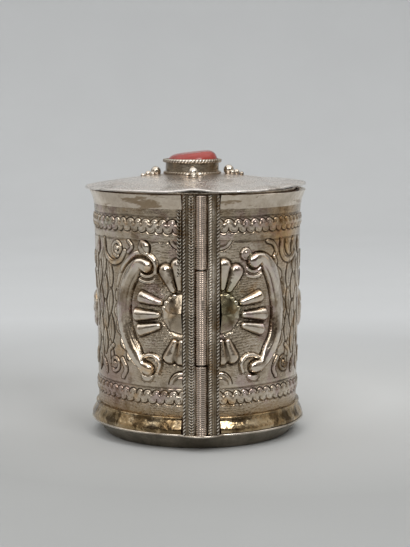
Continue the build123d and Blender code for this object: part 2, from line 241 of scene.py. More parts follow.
class Chasing:
    """Height field of an embossed sheet: raised forms, and lines punched beside them."""

    edge_gap = 0.1
    edge_width = 0.26
    edge_inside = -0.4

    def __init__(self, along: Array, above: Array) -> None:
        """Starts with a plain sheet.

        Args:
            along: Arc length of each grid point.
            above: Height of each grid point.
        """
        self.along = along
        self.above = above
        self.height = np.zeros_like(along)
        # Lighter, glossier parts: the bracket band's top, and painted reflections on the boss's facets
        self.polish = np.zeros_like(along)
        # Darkness: dirt in the punched lines, and painted shade on the bracket band's inner flank
        self.grime_and_shade = np.zeros_like(along)

    def from_point(self, centre: Point) -> Array:
        """Distance of each grid point from a centre."""
        return np.hypot(self.along - centre[0], self.above - centre[1])

    def from_path(self, path: Array) -> tuple[Array, Array, Array]:
        """Nearest place on a path: the least of the distances to its straight steps.

        Args:
            path: Points of the path.

        Returns:
            Distance from the path, share of its length at the nearest place, and side of it (1 is left).
        """
        best = np.full(self.along.shape, np.inf)
        share = np.zeros_like(best)
        side = np.zeros_like(best)
        lengths = np.hypot(*np.diff(path, axis=0).T)
        start = 0.0
        for first, last, length in zip(path[:-1], path[1:], lengths):
            du, dv = (last - first) / length
            ru, rv = self.along - first[0], self.above - first[1]
            t = np.clip(ru * du + rv * dv, 0, length)
            gap = np.hypot(ru - t * du, rv - t * dv)
            near = gap < best
            best = np.where(near, gap, best)
            share = np.where(near, (start + t) / lengths.sum(), share)
            side = np.where(near, np.sign(du * rv - dv * ru), side)
            start += length
        return best, share, side

    def lift(self, inside: Array, height: Any) -> None:
        """Raises the sheet to a height inside a form, where it isn't higher already."""
        self.height = np.where(inside, np.maximum(self.height, height), self.height)

    def score(self, distance: Array, width: float = 0.24, depth: Any = 0.3, grime_and_shade: Any = 0.0) -> None:
        """Punches a line: the sheet drops by depth * exp(-(distance / width)^2), and dirt settles there.

        Args:
            distance: Distance of each grid point from the line.
            width: Breadth of the line.
            depth: Depth of the line.
            grime_and_shade: Darkness of the line.
        """
        line = np.exp(-((distance / width) ** 2))
        self.height = self.height - depth * line
        self.grime_and_shade = np.maximum(self.grime_and_shade, grime_and_shade * line)

    def emboss(self, distance: Array, half_width: Any, height: Any, power: float = 0.5, line: float = 0.2,
               grime_and_shade: float = 0.0) -> None:
        """Raises a form of height * (1 - (d / w)^2)^power and punches a line along its edge.

        Args:
            distance: Distance d of each grid point from the form's middle.
            half_width: Half width w of the form.
            height: Height of its middle.
            power: Roundness: 0.5 is a half round, less is flatter.
            line: Depth of the punched line.
            grime_and_shade: Darkness of the punched line.
        """
        outside = np.maximum(distance - half_width, self.edge_inside)
        self.score(outside - self.edge_gap, self.edge_width, line, grime_and_shade)
        share = np.clip(1 - (distance / half_width) ** 2, 0, 1)
        self.lift(share > 0, height * share**power)

    def leaf(self, centre: Point, length: float, width: float, turn: float, height: float = 0.5) -> None:
        """Raises a pointed leaf with a midrib: its half width shrinks as 1 - (s / length)^2.

        Args:
            centre: Middle of the leaf.
            length: Half its length.
            width: Half its width.
            turn: Angle of the midrib in degrees.
            height: Height of its middle.
        """
        turn = radians(turn)
        ru, rv = self.along - centre[0], self.above - centre[1]
        s = ru * cos(turn) + rv * sin(turn)
        across = np.abs(rv * cos(turn) - ru * sin(turn))
        room = np.maximum(width * (1 - (s / length) ** 2), 0.02)
        inside = np.where(np.abs(s) < length, across, FAR)
        self.emboss(inside, room, height * np.clip(room / width, 0, 1), 0.35, 0.25, 0.6)
        self.score(np.where(np.abs(s) < 0.6 * length, across, FAR), 0.2, 0.12, 0.4)


@dataclass(frozen=True)
class Rosette:
    """Half rosette at a stile: a faceted boss with broad petals round it."""

    boss_radius: float = 6.0
    boss_height: float = 2.9
    boss_edge: float = 0.5
    facets: int = 10
    facet_slope: float = 0.5
    facet_uneven: float = 0.13
    star_slope: float = 0.26
    star_uneven: float = 0.14
    petal_height: float = 1.7
    root_width: float = 0.8
    root_round: float = 0.9
    # Half width, length and bluntness of the tip of an upright petal, and of one that lies
    upright_tip: Triple = (2.5, 2.6, 2.0)
    lying_tip: Triple = (2.05, 1.4, 3.2)
    beads: int = 4
    bead_radius: float = 0.8
    bead_ring: float = 5.58
    first_bead: float = 67.0
    bead_step: float = 17.0
    # Root and tip of each petal, from the top one round to the lowest
    petals: tuple[tuple[Point, Point], ...] = (
        ((0.4, 6.7), (1.5, 16.3)),
        ((2.3, 6.2), (5.8, 14.5)),
        ((5.9, 2.9), (13.7, 5.0)),
        ((6.4, -0.5), (15.6, -0.9)),
        ((6.4, -3.5), (14.4, -5.5)),
        ((2.1, -7.4), (4.4, -14.8)),
        ((0.2, -7.5), (0.6, -15.3)),
    )

    def petal(self, sheet: Chasing, root: Point, tip: Point) -> None:
        """Embosses one petal: a half round that widens outwards, 1 - (t / width)^2 less its rounded ends.

        Args:
            sheet: Sheet that is worked.
            root: Inner end of the petal.
            tip: Outer end of the petal.
        """
        length = float(np.hypot(tip[0] - root[0], tip[1] - root[1]))
        du, dv = (tip[0] - root[0]) / length, (tip[1] - root[1]) / length
        ru, rv = sheet.along - root[0], sheet.above - root[1]
        s, t = ru * du + rv * dv, rv * du - ru * dv
        share = np.clip(s / length, 0, 1)
        tip_width, cap, blunt = self.upright_tip if abs(dv) > abs(du) else self.lying_tip
        width = self.root_width + (tip_width - self.root_width) * share**0.85
        outer = np.maximum(s - (length - cap), 0) / cap
        inner = np.maximum(self.root_round - s, 0) / self.root_round
        form = 1 - (t / width) ** 2 - outer**blunt - inner**2
        sheet.score(np.maximum(-form, -0.5) - 0.2, 0.36, 0.14, 0.35)
        sheet.lift(form > 0, self.petal_height * (0.55 + 0.45 * share) * np.clip(form, 0, 1) ** 0.55)

    def boss(self, sheet: Chasing) -> None:
        """Embosses the boss: the lowest of two tiers of uneven planes, each polished to its own gloss and
        given its own painted lighter or darker tone, a painted reflection.

        Args:
            sheet: Sheet that is worked.
        """
        planes = []
        flat = self.boss_radius * cos(pi / self.facets)
        for k in range(self.facets):
            slope = self.facet_slope + self.facet_uneven * sin(2.1 * k + 1)
            star = self.star_slope + self.star_uneven * sin(1.7 * k)
            tiers = ((0.0, slope, self.boss_edge + slope * flat), (0.5, star, self.boss_height))
            for turn, fall, level in tiers:
                angle = 2 * pi * (k + turn) / self.facets
                planes.append(level - fall * (sheet.along * cos(angle) + sheet.above * sin(angle)))
        lowest, second = np.sort(np.stack(planes), axis=0)[:2]
        # Painted reflection: each facet gets its own lighter or darker tone, which also sets its gloss
        tone = np.sin(2.6 * np.argmin(np.stack(planes), axis=0) + 1)
        inside = lowest > self.boss_edge
        sheet.polish = np.where(inside, tone, sheet.polish)
        sheet.score((self.boss_edge - lowest) / 0.5 - 0.3, 0.4, 0.3)
        sheet.lift(inside, lowest)
        sheet.score(np.where(inside, (second - lowest) / 0.3, FAR), 0.3, 0.12, 0.4)

    def work(self, sheet: Chasing) -> None:
        """Embosses the petals, the boss and the beads on its rim.

        Args:
            sheet: Sheet that is worked.
        """
        for root, tip in self.petals:
            self.petal(sheet, root, tip)
        self.boss(sheet)
        for k in range(self.beads):
            angle = radians(self.first_bead - self.bead_step * k)
            away = sheet.from_point((self.bead_ring * cos(angle), self.bead_ring * sin(angle)))
            bead = np.sqrt(np.clip(1 - (away / self.bead_radius) ** 2, 0, 1))
            sheet.lift(bead > 0, 0.45 + 0.5 * bead)


@dataclass(frozen=True)
class Bracket:
    """C bracket that curls round the rosette: a broad ridged band with round ends, loops and small leaves."""

    side: Side
    band_height: float = 1.6
    half_width: float = 2.75
    end_width: float = 1.9
    scallops: int = 9
    scale_height: float = 0.3
    knob_arcs: Pair = (3.0, 4.6)
    curl: Point = (8.3, 17.4)
    cup: Point = (11.2, -18.7)

    @property
    def crest(self) -> float:
        """Offset of the ridge line from the band's middle: inwards on the right."""
        return 0.1 if self.side is Side.LEFT else -0.9

    def band(self) -> Array:
        """Middle line of the band, a smooth curve from its top knob down to its lower one.

        Returns:
            The path as an (n, 2) array.
        """
        if self.side is Side.LEFT:
            points = (
                (10.9, 13.7), (13.4, 14.5), (16.0, 11.6), (18.2, 7.4), (19.2, 3.4), (19.4, -0.6),
                (18.9, -4.8), (17.4, -9.0), (15.2, -12.8), (13.0, -15.8), (10.9, -17.0),
            )
        else:
            points = (
                (10.7, 15.2), (13.6, 16.2), (16.6, 12.9), (18.4, 8.4), (19.6, 3.4), (20.0, -1.0),
                (19.6, -5.2), (18.3, -9.6), (16.0, -13.0), (13.8, -15.6), (11.6, -16.3),
            )
        return curve([(u + 0.45 * cos(v / 9.5), v) for u, v in points], 70)

    def loops(self, sheet: Chasing) -> None:
        """Embosses the rim over the top knob, the arcs under it, and the loop, cup and bud at the ends.

        Args:
            sheet: Sheet that is worked.
        """
        knob = self.band()[0]
        if self.side is Side.LEFT:
            rim = (
                (8.2, 11.9), (8.0, 14.2), (9.3, 16.4), (12.0, 17.6), (14.8, 17.2), (17.2, 15.6), (19.3, 13.5),
                (20.9, 10.2), (22.0, 6.6),
            )
            sheet.emboss(sheet.from_path(curve(rim, 60))[0], 0.7, 0.85, 0.45, 0.14)
            sheet.leaf((11.6, 19.2), 2.7, 1.8, 65, 1.0)
        else:
            away = sheet.from_point(self.curl)
            sheet.emboss(away, 1.75, 0.75, 0.4, 0.25)
            sheet.score(away - 1.05, 0.22, 0.25)
        under = (sheet.above < knob[1] - 1.5) & (np.abs(sheet.along - knob[0]) < 2.5)
        for radius in self.knob_arcs:
            arc = np.abs(sheet.from_point((knob[0], knob[1])) - radius) + np.where(under, 0.0, FAR)
            sheet.emboss(arc, 0.5, 0.55, 0.5, 0.18)
        loop = curve(((13.2, -13.9), (10.6, -12.7), (8.2, -13.0), (6.8, -15.0), (7.5, -17.4)), 40)
        sheet.emboss(sheet.from_path(loop)[0], 0.6, 0.8, 0.5, 0.18)
        below = np.where(sheet.above < self.cup[1] - 0.1, 0.0, FAR)
        sheet.emboss(sheet.from_point(self.cup) + below, 2.1, 0.9)

    def work(self, sheet: Chasing) -> None:
        """Embosses the scales outside the band, the loops, and the band with grooves along its top half.

        The band is a flat roof of 1 - |offset from the ridge / half width|^1.25, turning round at its ends.

        Args:
            sheet: Sheet that is worked.
        """
        gap, share, side = sheet.from_path(self.band())
        offset = gap * side
        end = np.minimum(share, 1 - share)
        wide = smoothstep(end, 0.07, 0.2)
        half = self.end_width + (self.half_width - self.end_width) * wide
        half = half * (1 - 0.2 * np.exp(-(((end - 0.065) / 0.025) ** 2)))
        crest = self.crest * wide
        lean = np.abs(offset - crest) / np.where(offset > crest, half - crest, half + crest)
        lobes = half + 0.4 + 1.2 * np.abs(np.sin(pi * self.scallops * share))
        scaled = (side > 0) & (end > 0.15)
        scales = np.where(scaled, gap - lobes, FAR)
        sheet.height = sheet.height + self.scale_height * smoothstep(-scales, -0.1, 0.9) * (scales < FAR - 1)
        sheet.score(scales, 0.24, 0.25, 0.6)
        self.loops(sheet)
        sheet.score(np.maximum(lean - 1, -0.2) * half - 0.14, 0.28, 0.5)
        round_end = np.sqrt(np.clip(1 - lean**2, 0, 1))
        roof = wide * np.clip(1 - lean**1.25, 0, 1) + (1 - wide) * round_end
        sheet.lift(lean < 1, self.band_height * (0.3 * (1 - lean**8) + 0.7 * roof))
        # The band's top is paler and glossier than its edges
        sheet.polish = np.maximum(sheet.polish, np.clip(1.4 - 1.4 * lean**4, 0, 1))
        high = smoothstep(sheet.above, -1.0, 6.0) * wide
        # Painted shade: the band's inner flank darkens, more on the left half, kept with the dirt of the
        # lines
        inner = smoothstep(crest - offset, 0.2, 0.6) * wide * (lean < 0.97)
        sheet.grime_and_shade = np.maximum(sheet.grime_and_shade, (0.42 if self.side is Side.LEFT else 0.22) * inner)
        if self.side is Side.LEFT:
            sheet.score(offset - 1.65, 0.3, 0.5 * high, 0.3 * high)
        sheet.score(offset + 1.7, 0.22, 0.3 * high + 0.1 * wide, 0.5 * high)


@dataclass(frozen=True)
class Foliage:
    """Scrolls, leaves and strands between the bracket and the boss at the side."""

    side: Side
    corner_discs: tuple[Point, Point] = ((0.0, 22.6), (0.2, -21.2))
    columns: int = 4
    rows: int = 4
    first_column: float = 26.3
    column_step: float = 3.3
    first_row: float = 9.8
    row_step: float = 8.0
    leaf_room: float = 14.5

    def strand(self, sheet: Chasing, path: Array, width: float = 0.5) -> None:
        """Embosses a strand along a path."""
        sheet.emboss(sheet.from_path(path)[0], width, 0.3, 0.35, 0.22, 0.5)

    def strands(self, sheet: Chasing, *routes: tuple[float, tuple[Point, ...]]) -> None:
        """Embosses strands of given half widths along smooth curves through points."""
        for width, points in routes:
            self.strand(sheet, curve(points), width)

    def volute(self, sheet: Chasing, path: Array, eye: Point, pearl: float) -> None:
        """Embosses a spiral strand with a pearl in its eye."""
        self.strand(sheet, path)
        sheet.emboss(sheet.from_point(eye), pearl, 0.5)

    def ground(self, sheet: Chasing) -> None:
        """Embosses the quarter discs beside the stile and the columns of pointed leaves, alternately raised.

        Args:
            sheet: Sheet that is worked.
        """
        for centre in self.corner_discs:
            away = sheet.from_point(centre)
            sheet.emboss(away, 3.9, 0.75, 0.3, 0.25, 0.4)
            sheet.score(away - 2.6, 0.26, 0.2, 0.4)
        for column in range(self.columns):
            for row in range(self.rows):
                rise = self.first_row - self.row_step * (row - 0.5 * (column % 2))
                along = self.first_column + self.column_step * column + 0.4 * sin(2.3 * row + column)
                if abs(rise) < self.leaf_room:
                    sheet.leaf((along, rise), 4.6, 1.5, 90 + 8 * sin(1.7 * row + column), 0.2)

    def work(self, sheet: Chasing) -> None:
        """Embosses the ground, then each half's own scrolls above and the shared ones below and aside.

        Args:
            sheet: Sheet that is worked.
        """
        self.ground(sheet)
        if self.side is Side.LEFT:
            eye = (22.4, 18.4)
            self.volute(sheet, spiral(eye, 0.9, 2.4, 30, -1.35), eye, 0.6)
            self.strands(
                sheet,
                (0.75, ((29.4, 20.6), (28.4, 16.4), (25.0, 14.2), (21.4, 14.9), (19.2, 17.6))),
                (0.5, ((17.4, 20.8), (16.0, 19.2), (17.6, 17.6))),
            )
        else:
            self.strands(
                sheet,
                (0.6, ((16.0, 20.9), (18.4, 20.0), (19.6, 17.8), (18.6, 16.0))),
                (0.75, ((22.2, 21.0), (22.0, 17.8), (23.6, 15.2), (27.0, 14.5), (30.4, 16.2))),
            )
            sheet.leaf((25.2, 18.4), 2.9, 1.15, 110)
            sheet.leaf((29.0, 18.8), 2.9, 1.15, 72)
        eye = (24.4, -16.6)
        self.volute(sheet, spiral(eye, 0.7, 2.4, 200, 1.3), eye, 0.55)
        self.strands(
            sheet,
            (0.6, ((27.0, -16.6), (27.3, -13.4), (25.2, -11.4))),
            (0.7, ((20.6, -20.2), (19.4, -17.8), (21.0, -15.0))),
        )
        leaves = (((30.4, -18.0), 2.8, 62), ((34.6, -17.6), 3.0, 112), ((33.8, 18.4), 2.8, 96))
        for place, length, turn in leaves:
            sheet.leaf(place, length, 1.2, turn)
        self.strand(sheet, spiral((40.6, 13.8), 0.6, 2.8, 90, 1.4))
        self.strand(sheet, spiral((40.6, -16.2), 0.6, 2.8, 270, -1.4))
        self.strands(sheet, (0.6, ((38.9, 5.4), (40.0, 8.4), (43.4, 9.8))))


@dataclass(frozen=True)
class SideBoss:
    """Round flower at the middle of a half."""

    place: Point
    radius: float = 5.9
    petals: int = 12
    petal_ring: float = 4.0
    petal_length: float = 1.7
    middle: float = 2.2

    def work(self, sheet: Chasing) -> None:
        """Embosses a ring, a round of petals as |sin| of the angle, and a domed middle.

        Args:
            sheet: Sheet that is worked.
        """
        away = sheet.from_point(self.place)
        sheet.emboss(away, self.radius, 0.5, 0.25, 0.4)
        angle = np.arctan2(sheet.above - self.place[1], sheet.along - self.place[0])
        fold = np.abs(np.sin(0.5 * self.petals * angle))
        petal = np.clip(1 - ((away - self.petal_ring) / self.petal_length) ** 2, 0, 1)
        sheet.height = sheet.height + 0.45 * petal * fold**0.6
        sheet.emboss(away, self.middle, 1.15, 0.5, 0.3)


@dataclass(frozen=True)
class Braid:
    """Band with a smooth middle and a row of round scallops along each edge, the two rows staggered."""

    middle: float
    pitch: float = 2.75
    rise: float = 0.75
    lobe: float = 1.35
    crescent: float = 0.7
    height: float = 0.42

    def work(self, sheet: Chasing) -> None:
        """Embosses the scallops as low domes, then punches an arc round each and a crescent in it.

        Args:
            sheet: Sheet that is worked.
        """
        v = sheet.above - self.middle
        wobble = 0.14 * np.sin(sheet.along * 0.9) + 0.1 * np.sin(sheet.along * 2.3 + 1)
        form = 0.8 * np.sqrt(np.clip(1 - v**2, 0, 1))
        arc = np.full_like(v, FAR)
        crescent = np.full_like(v, FAR)
        for way, shift in ((1, 0.0), (-1, 0.5)):
            phase = (sheet.along + wobble) / self.pitch + shift
            across = (phase - np.round(phase)) * self.pitch
            away = np.hypot(across, way * v - self.rise)
            form = np.maximum(form, np.sqrt(np.clip(1 - (away / self.lobe) ** 2, 0, 1)))
            outside = way * v > self.rise - 0.25
            arc = np.where(outside, np.minimum(arc, np.abs(away - self.lobe - 0.05)), arc)
            crescent = np.where(outside, np.minimum(crescent, np.abs(away - self.crescent)), crescent)
        sheet.height = np.maximum(sheet.height, self.height * form)
        sheet.score(arc, 0.22, 0.3, 0.5)
        sheet.score(crescent, 0.17, 0.26)


@dataclass(frozen=True)
class Finish:
    """Look of a metal: its colours from worn ridge to hollow, and how it shines. Sizes are millimetres."""

    name: str
    ridge: str
    plain: str
    hollow: str
    stain: str = "6E5638"
    stain_share: float = 0.35
    stain_edge: float = 0.12
    stain_size: float = 7.0
    stain_scale: Triple = (1.0, 1.0, 1.0)
    tarnish: float = 0.35
    gloss: float = 0.24
    dull: float = 0.5
    grain_size: float = 0.9
    stipple: float = 0.0
    dot_size: float = 0.7
    stroke_pitch: float = 0.8
    bloom_size: float = 9.0
    scratch: Triple = (1.0, 1.0, 9.0)
    scratch_size: float = 2.4
    scratch_depth: float = 0.012
    hammer: float = 0.0
    dent_size: float = 2.6
    patches: tuple[tuple[Place, float, str], ...] = ()
    low_tint: str = ""
    low_height: float = 0.0
    low_fade: float = 4.0


@dataclass(frozen=True)
class Finishes:
    """Finishes of the box, named for the real materials."""

    # Repousse silver sheet, bright on the ridges and brown-black in the hollows,
    # with a gold, a mauve and a greenish patch of tarnish
    embossed: Finish = Finish(
        "embossed_silver_patina", "EEE3D4", "C2B39E", "43372A", tarnish=0.28, gloss=0.17, dull=0.34,
        stipple=0.28, hammer=0.2, scratch=(1.4, 1.4, 2.0), scratch_depth=0.02,
        low_tint="9C8058", low_height=13.0,
        patches=(
            ((25.0, -20.0, 64.0), 13.0, "F2D3A2"),
            ((-27.0, -16.0, 17.0), 14.0, "DDCDD2"),
            ((7.0, -31.0, 43.0), 9.0, "CDD6BE"),
        ),
    )
    # Plain silver of the upper collar, with brown stains
    collar: Finish = Finish(
        "stained_collar_silver", "F0E4D4", "D2C3B0", "5C4C36", stain="8E7555", stain_share=0.2,
        stain_size=3.6, stain_scale=(0.5, 0.5, 1.6), stain_edge=0.04,
        tarnish=0.25, gloss=0.14, dull=0.36, hammer=0.12,
    )
    # Lower collar, rubbed to a golden brown tarnish with dark patches
    gilt: Finish = Finish(
        "golden_tarnished_silver", "E6D6BA", "B09873", "33261A", stain="4A371F", stain_share=0.55,
        stain_size=4.6, stain_edge=0.05, tarnish=0.36, gloss=0.17, dull=0.32, hammer=0.4,
    )
    # Lid sheet, pale and finely scratched by handling
    lid: Finish = Finish(
        "scuffed_lid_silver", "F4EEE8", "E2D8D0", "8A7C70", stain="A89A8C", stain_share=0.4, tarnish=0.24,
        gloss=0.22, dull=0.4, scratch=(5.0, 1.2, 1.0), scratch_depth=0.08, hammer=0.06,
    )
    # Stiles and their wires, grimy between the strands
    wire: Finish = Finish(
        "grimy_wire_silver", "F0E8DC", "9A8C78", "150F09", tarnish=0.36, gloss=0.12, dull=0.45
    )
    # Hinge barrel, rubbed to a warm pinkish silver
    barrel: Finish = Finish(
        "rubbed_barrel_silver", "D8C7B9", "A89889", "281E16", stain="8C7A6A", stain_share=0.1, tarnish=0.24,
        gloss=0.1, dull=0.3,
    )
    # Base edge and granules, bright silver
    bright: Finish = Finish("bright_silver", "E6DED2", "C2B7A8", "3E3226", tarnish=0.24, gloss=0.16, dull=0.4)
    # Bezel wall and its foot wire, dark with age
    bezel: Finish = Finish(
        "dark_bezel_silver", "D2C6B4", "9E907D", "2A2118", tarnish=0.4, gloss=0.16, dull=0.4, hammer=0.15
    )
    # Copper sleeve, dull with age
    copper: Finish = Finish(
        "aged_copper", "B98A66", "8A6145", "3A281C", stain="5A4030", tarnish=0.4, gloss=0.35, dull=0.6
    )
    # Foot of copper blackened by handling
    black: Finish = Finish(
        "blackened_copper", "B0A898", "8C8476", "322D27", stain="6A6255", tarnish=0.45, gloss=0.34, dull=0.55
    )
    # Hinge pin of plain drawn steel
    steel: Finish = Finish("pin_steel", "C8C4BE", "98938B", "3A352F", gloss=0.28)


@dataclass(frozen=True)
class Graph:
    """Node tree of a material or of the world."""

    tree: Any

    def add(self, kind: str, inputs: Optional[dict] = None, out: Any = 0,
            stops: Sequence[tuple[float, str]] = (), **settings: Any) -> Any:
        """Adds one shader node with its settings and links.

        Args:
            kind: Node type name, after ShaderNode.
            inputs: Socket name or index to a constant, or to an output socket to link.
            out: Name or index of the output that is wanted.
            stops: Places and sRGB hex colours, if it is a ramp.
            settings: Properties of the node.

        Returns:
            The output socket, or None if the node has no outputs.
        """
        made = self.tree.nodes.new(f"ShaderNode{kind}")
        for key, value in settings.items():
            setattr(made, key, value)
        for key, value in (inputs or {}).items():
            if isinstance(value, bpy.types.NodeSocket):
                self.tree.links.new(value, made.inputs[key])
            else:
                made.inputs[key].default_value = value
        if stops:
            elements = made.color_ramp.elements
            while len(elements) < len(stops):
                elements.new(0.5)
            for element, (place, code) in zip(elements, stops):
                element.position = place
                element.color = linear(code)
        return made.outputs[out] if len(made.outputs) else None


class Paint:
    """Builds the procedural materials."""

    # A wave texture's bands repeat every 0.314 / scale
    wave_unit = 0.314
    stain_shift = (31.0, 17.0, 11.0)
    stain_strength = 0.75
    patch_strength = 0.9
    low_strength = 0.7
    # Middle of the painted pool of light on the table round the box, in millimetres
    light_pool_place = (22.0, 52.0, 0.0)
    bloom_stops = ((0.28, "FFE8C8"), (0.4, "FBF8F4"), (0.56, "FCFCFC"), (0.64, "EEE4EE"), (0.76, "DEE6DC"))
    coral_stops = ((0.25, "80251E"), (0.55, "98342C"), (0.8, "AA4838"))
    # Darkest and lightest tone of the paper's wall, of its table, and of the painted pool of light on the
    # table round the box
    wall_tones = ("C1C3C4", "C3C5C6")
    table_tones = ("9C9D9C", "9E9F9E")
    light_pool_tones = ("BBBCBB", "BDBEBD")
    # Painted light: the wall's tone high up, paler as if more brightly lit
    lit_wall = "E2E2E0"

    def __init__(self) -> None:
        """Starts with no materials made."""
        self.made: dict[str, bpy.types.Material] = {}

    def start(self, name: str) -> tuple[bpy.types.Material, Graph, Any]:
        """Makes an empty material with a coordinate in millimetres.

        Args:
            name: Material name.

        Returns:
            The material, its graph and the coordinate socket.
        """
        material = bpy.data.materials.new(name)
        material.use_nodes = True
        graph = Graph(material.node_tree)
        graph.tree.nodes.clear()
        place = graph.add("TexCoord", out="Object")
        self.made[name] = material
        return material, graph, graph.add("VectorMath", {0: place, "Scale": 1 / MM}, operation="SCALE")

    def specks(self, graph: Graph, finish: Finish, place: Any) -> Any:
        """Stipple of the bare ground: fine dots crossed by slanting punch strokes.

        Args:
            graph: Graph of the material.
            finish: Look of the metal.
            place: Coordinate socket.

        Returns:
            Socket of the stipple, from -0.5 to 0.5.
        """
        dots = {"Vector": place, "Scale": 1.0 / finish.dot_size, "Detail": 2.0, "Roughness": 0.6}
        dots = graph.add("Math", {0: graph.add("TexNoise", dots), 1: 0.86}, operation="MULTIPLY")
        stroke = {"Vector": place, "Scale": self.wave_unit / finish.stroke_pitch, "Distortion": 14.0,
                  "Detail": 2.0, "Detail Scale": 0.35}
        hatch = graph.add("TexWave", stroke, 1, bands_direction="Z")
        dots = graph.add("Math", {0: hatch, 1: 0.14, 2: dots}, operation="MULTIPLY_ADD")
        dots = graph.add("Math", {0: dots, 1: 0.5}, operation="SUBTRACT")
        ground = graph.add("Attribute", out="Fac", attribute_name="ground")
        return graph.add("Math", {0: dots, 1: ground}, operation="MULTIPLY")

    def darkness(self, graph: Graph, finish: Finish, place: Any, broad: Any) -> Any:
        """Depth of the patina: broad clouds and fine grain about the finish's tarnish, plus the hollows
        attribute, which also carries painted shade and painted sheen.

        Args:
            graph: Graph of the material.
            finish: Look of the metal.
            place: Coordinate socket.
            broad: Socket of the broad clouds.

        Returns:
            Socket of the depth, from 0 to 1.
        """
        hollow = graph.add("Attribute", out="Fac", attribute_name="hollow")
        grain = {"Vector": place, "Scale": 1.0 / finish.grain_size, "Detail": 4.0, "Roughness": 0.55}
        grain = {0: graph.add("TexNoise", grain), 1: 0.3, 2: -0.15}
        grain = graph.add("Math", grain, operation="MULTIPLY_ADD")
        depth = graph.add("Math", {0: broad, 1: 0.9, 2: finish.tarnish - 0.45}, operation="MULTIPLY_ADD")
        depth = graph.add("Math", {0: depth, 1: grain}, operation="ADD")
        return graph.add("Math", {0: depth, 1: hollow}, operation="ADD", use_clamp=True)

    def tone(self, graph: Graph, finish: Finish, place: Any, broad: Any, depth: Any) -> Any:
        """Colour of the patina: a ramp by depth, stained in spots and tinted in patches and near the foot.

        Args:
            graph: Graph of the material.
            finish: Look of the metal.
            place: Coordinate socket.
            broad: Socket of the broad clouds.
            depth: Socket of the patina's depth.

        Returns:
            Socket of the colour.
        """
        stops = ((0.0, finish.ridge), (0.38, finish.plain), (0.95, finish.hollow))
        colour = graph.add("ValToRGB", {0: depth}, stops=stops)
        spread = {0: place, 1: finish.stain_scale, 2: self.stain_shift}
        shifted = graph.add("VectorMath", spread, operation="MULTIPLY_ADD")
        spot_size = finish.stain_size * 1.4
        spots = {"Vector": shifted, "Scale": 1.0 / spot_size, "Detail": 7.0, "Roughness": 0.65}
        edge = 0.5 + 0.22 * (0.5 - finish.stain_share)
        spots = graph.add("TexNoise", spots)
        stained = {0: spots, 1: edge, 2: edge + finish.stain_edge, 3: 0.0, 4: self.stain_strength}
        stained = {0: graph.add("MapRange", stained), 6: colour, 7: linear(finish.stain)}
        colour = graph.add("Mix", stained, 2, data_type="RGBA")
        if finish.stipple:
            bloom = {"Vector": shifted, "Scale": 1.0 / finish.bloom_size, "Detail": 3.0, "Roughness": 0.6}
            bloom = graph.add("ValToRGB", {0: graph.add("TexNoise", bloom)}, stops=self.bloom_stops)
            colour = graph.add("VectorMath", {0: colour, 1: bloom}, operation="MULTIPLY")
        for centre, reach, tint in finish.patches:
            gap = graph.add("VectorMath", {0: place, 1: centre}, "Value", operation="DISTANCE")
            gap = graph.add("Math", {0: broad, 1: reach, 2: gap}, operation="MULTIPLY_ADD")
            share = {0: gap, 1: 0.7 * reach, 2: 1.4 * reach, 3: self.patch_strength, 4: 0.0}
            share = graph.add("MapRange", share)
            toned = graph.add("VectorMath", {0: colour, 1: linear(tint)[:3]}, operation="MULTIPLY")
            colour = graph.add("Mix", {0: share, 6: colour, 7: toned}, 2, data_type="RGBA")
        if finish.low_tint:
            rise = graph.add("SeparateXYZ", {0: place}, "Z")
            rise = graph.add("Math", {0: broad, 1: 5.0, 2: rise}, operation="MULTIPLY_ADD")
            high = finish.low_height + finish.low_fade
            fade = {0: rise, 1: finish.low_height, 2: high, 3: self.low_strength, 4: 0.0}
            tinted = {0: graph.add("MapRange", fade), 6: colour, 7: linear(finish.low_tint)}
            colour = graph.add("Mix", tinted, 2, data_type="RGBA")
        return colour

    def metal(self, finish: Finish) -> bpy.types.Material:
        """Worn metal: hollows darken, patches stain, and fine scratches, stipple and dents roughen it.

        Args:
            finish: Look of the metal.

        Returns:
            The material, made once for each finish.
        """
        if finish.name in self.made:
            return self.made[finish.name]
        material, graph, place = self.start(finish.name)
        clouds = {"Vector": place, "Scale": 1.0 / finish.stain_size, "Detail": 6.0, "Roughness": 0.6}
        broad = graph.add("TexNoise", clouds)
        depth = self.darkness(graph, finish, place, broad)
        scratched = graph.add("VectorMath", {0: place, 1: finish.scratch}, operation="MULTIPLY")
        lines = {"Vector": scratched, "Scale": 1.0 / finish.scratch_size, "Detail": 5.0, "Roughness": 0.7}
        lines = graph.add("TexNoise", lines)
        relief = graph.add("Math", {0: lines, 1: finish.scratch_depth}, operation="MULTIPLY")
        if finish.stipple:
            specks = self.specks(graph, finish, place)
            depth = graph.add("Math", {0: specks, 1: 1.5, 2: depth}, operation="MULTIPLY_ADD", use_clamp=True)
            relief = graph.add("Math", {0: specks, 1: finish.stipple, 2: relief}, operation="MULTIPLY_ADD")
        if finish.hammer:
            dents = {"Vector": place, "Scale": 1.0 / finish.dent_size, "Detail": 2.0, "Roughness": 0.5}
            dents = {0: graph.add("TexNoise", dents), 1: finish.hammer, 2: relief}
            relief = graph.add("Math", dents, operation="MULTIPLY_ADD")
        rough = graph.add("MapRange", {0: depth, 3: finish.gloss, 4: finish.dull})
        uneven = graph.add("Math", {0: lines, 1: 0.24, 2: -0.12}, operation="MULTIPLY_ADD")
        look = {
            "Base Color": self.tone(graph, finish, place, broad, depth),
            "Metallic": 1.0,
            "Roughness": graph.add("Math", {0: rough, 1: uneven}, operation="ADD", use_clamp=True),
            "Normal": graph.add("Bump", {"Strength": 1.0, "Distance": MM, "Height": relief}),
        }
        graph.add("OutputMaterial", {"Surface": graph.add("BsdfPrincipled", look)})
        return material

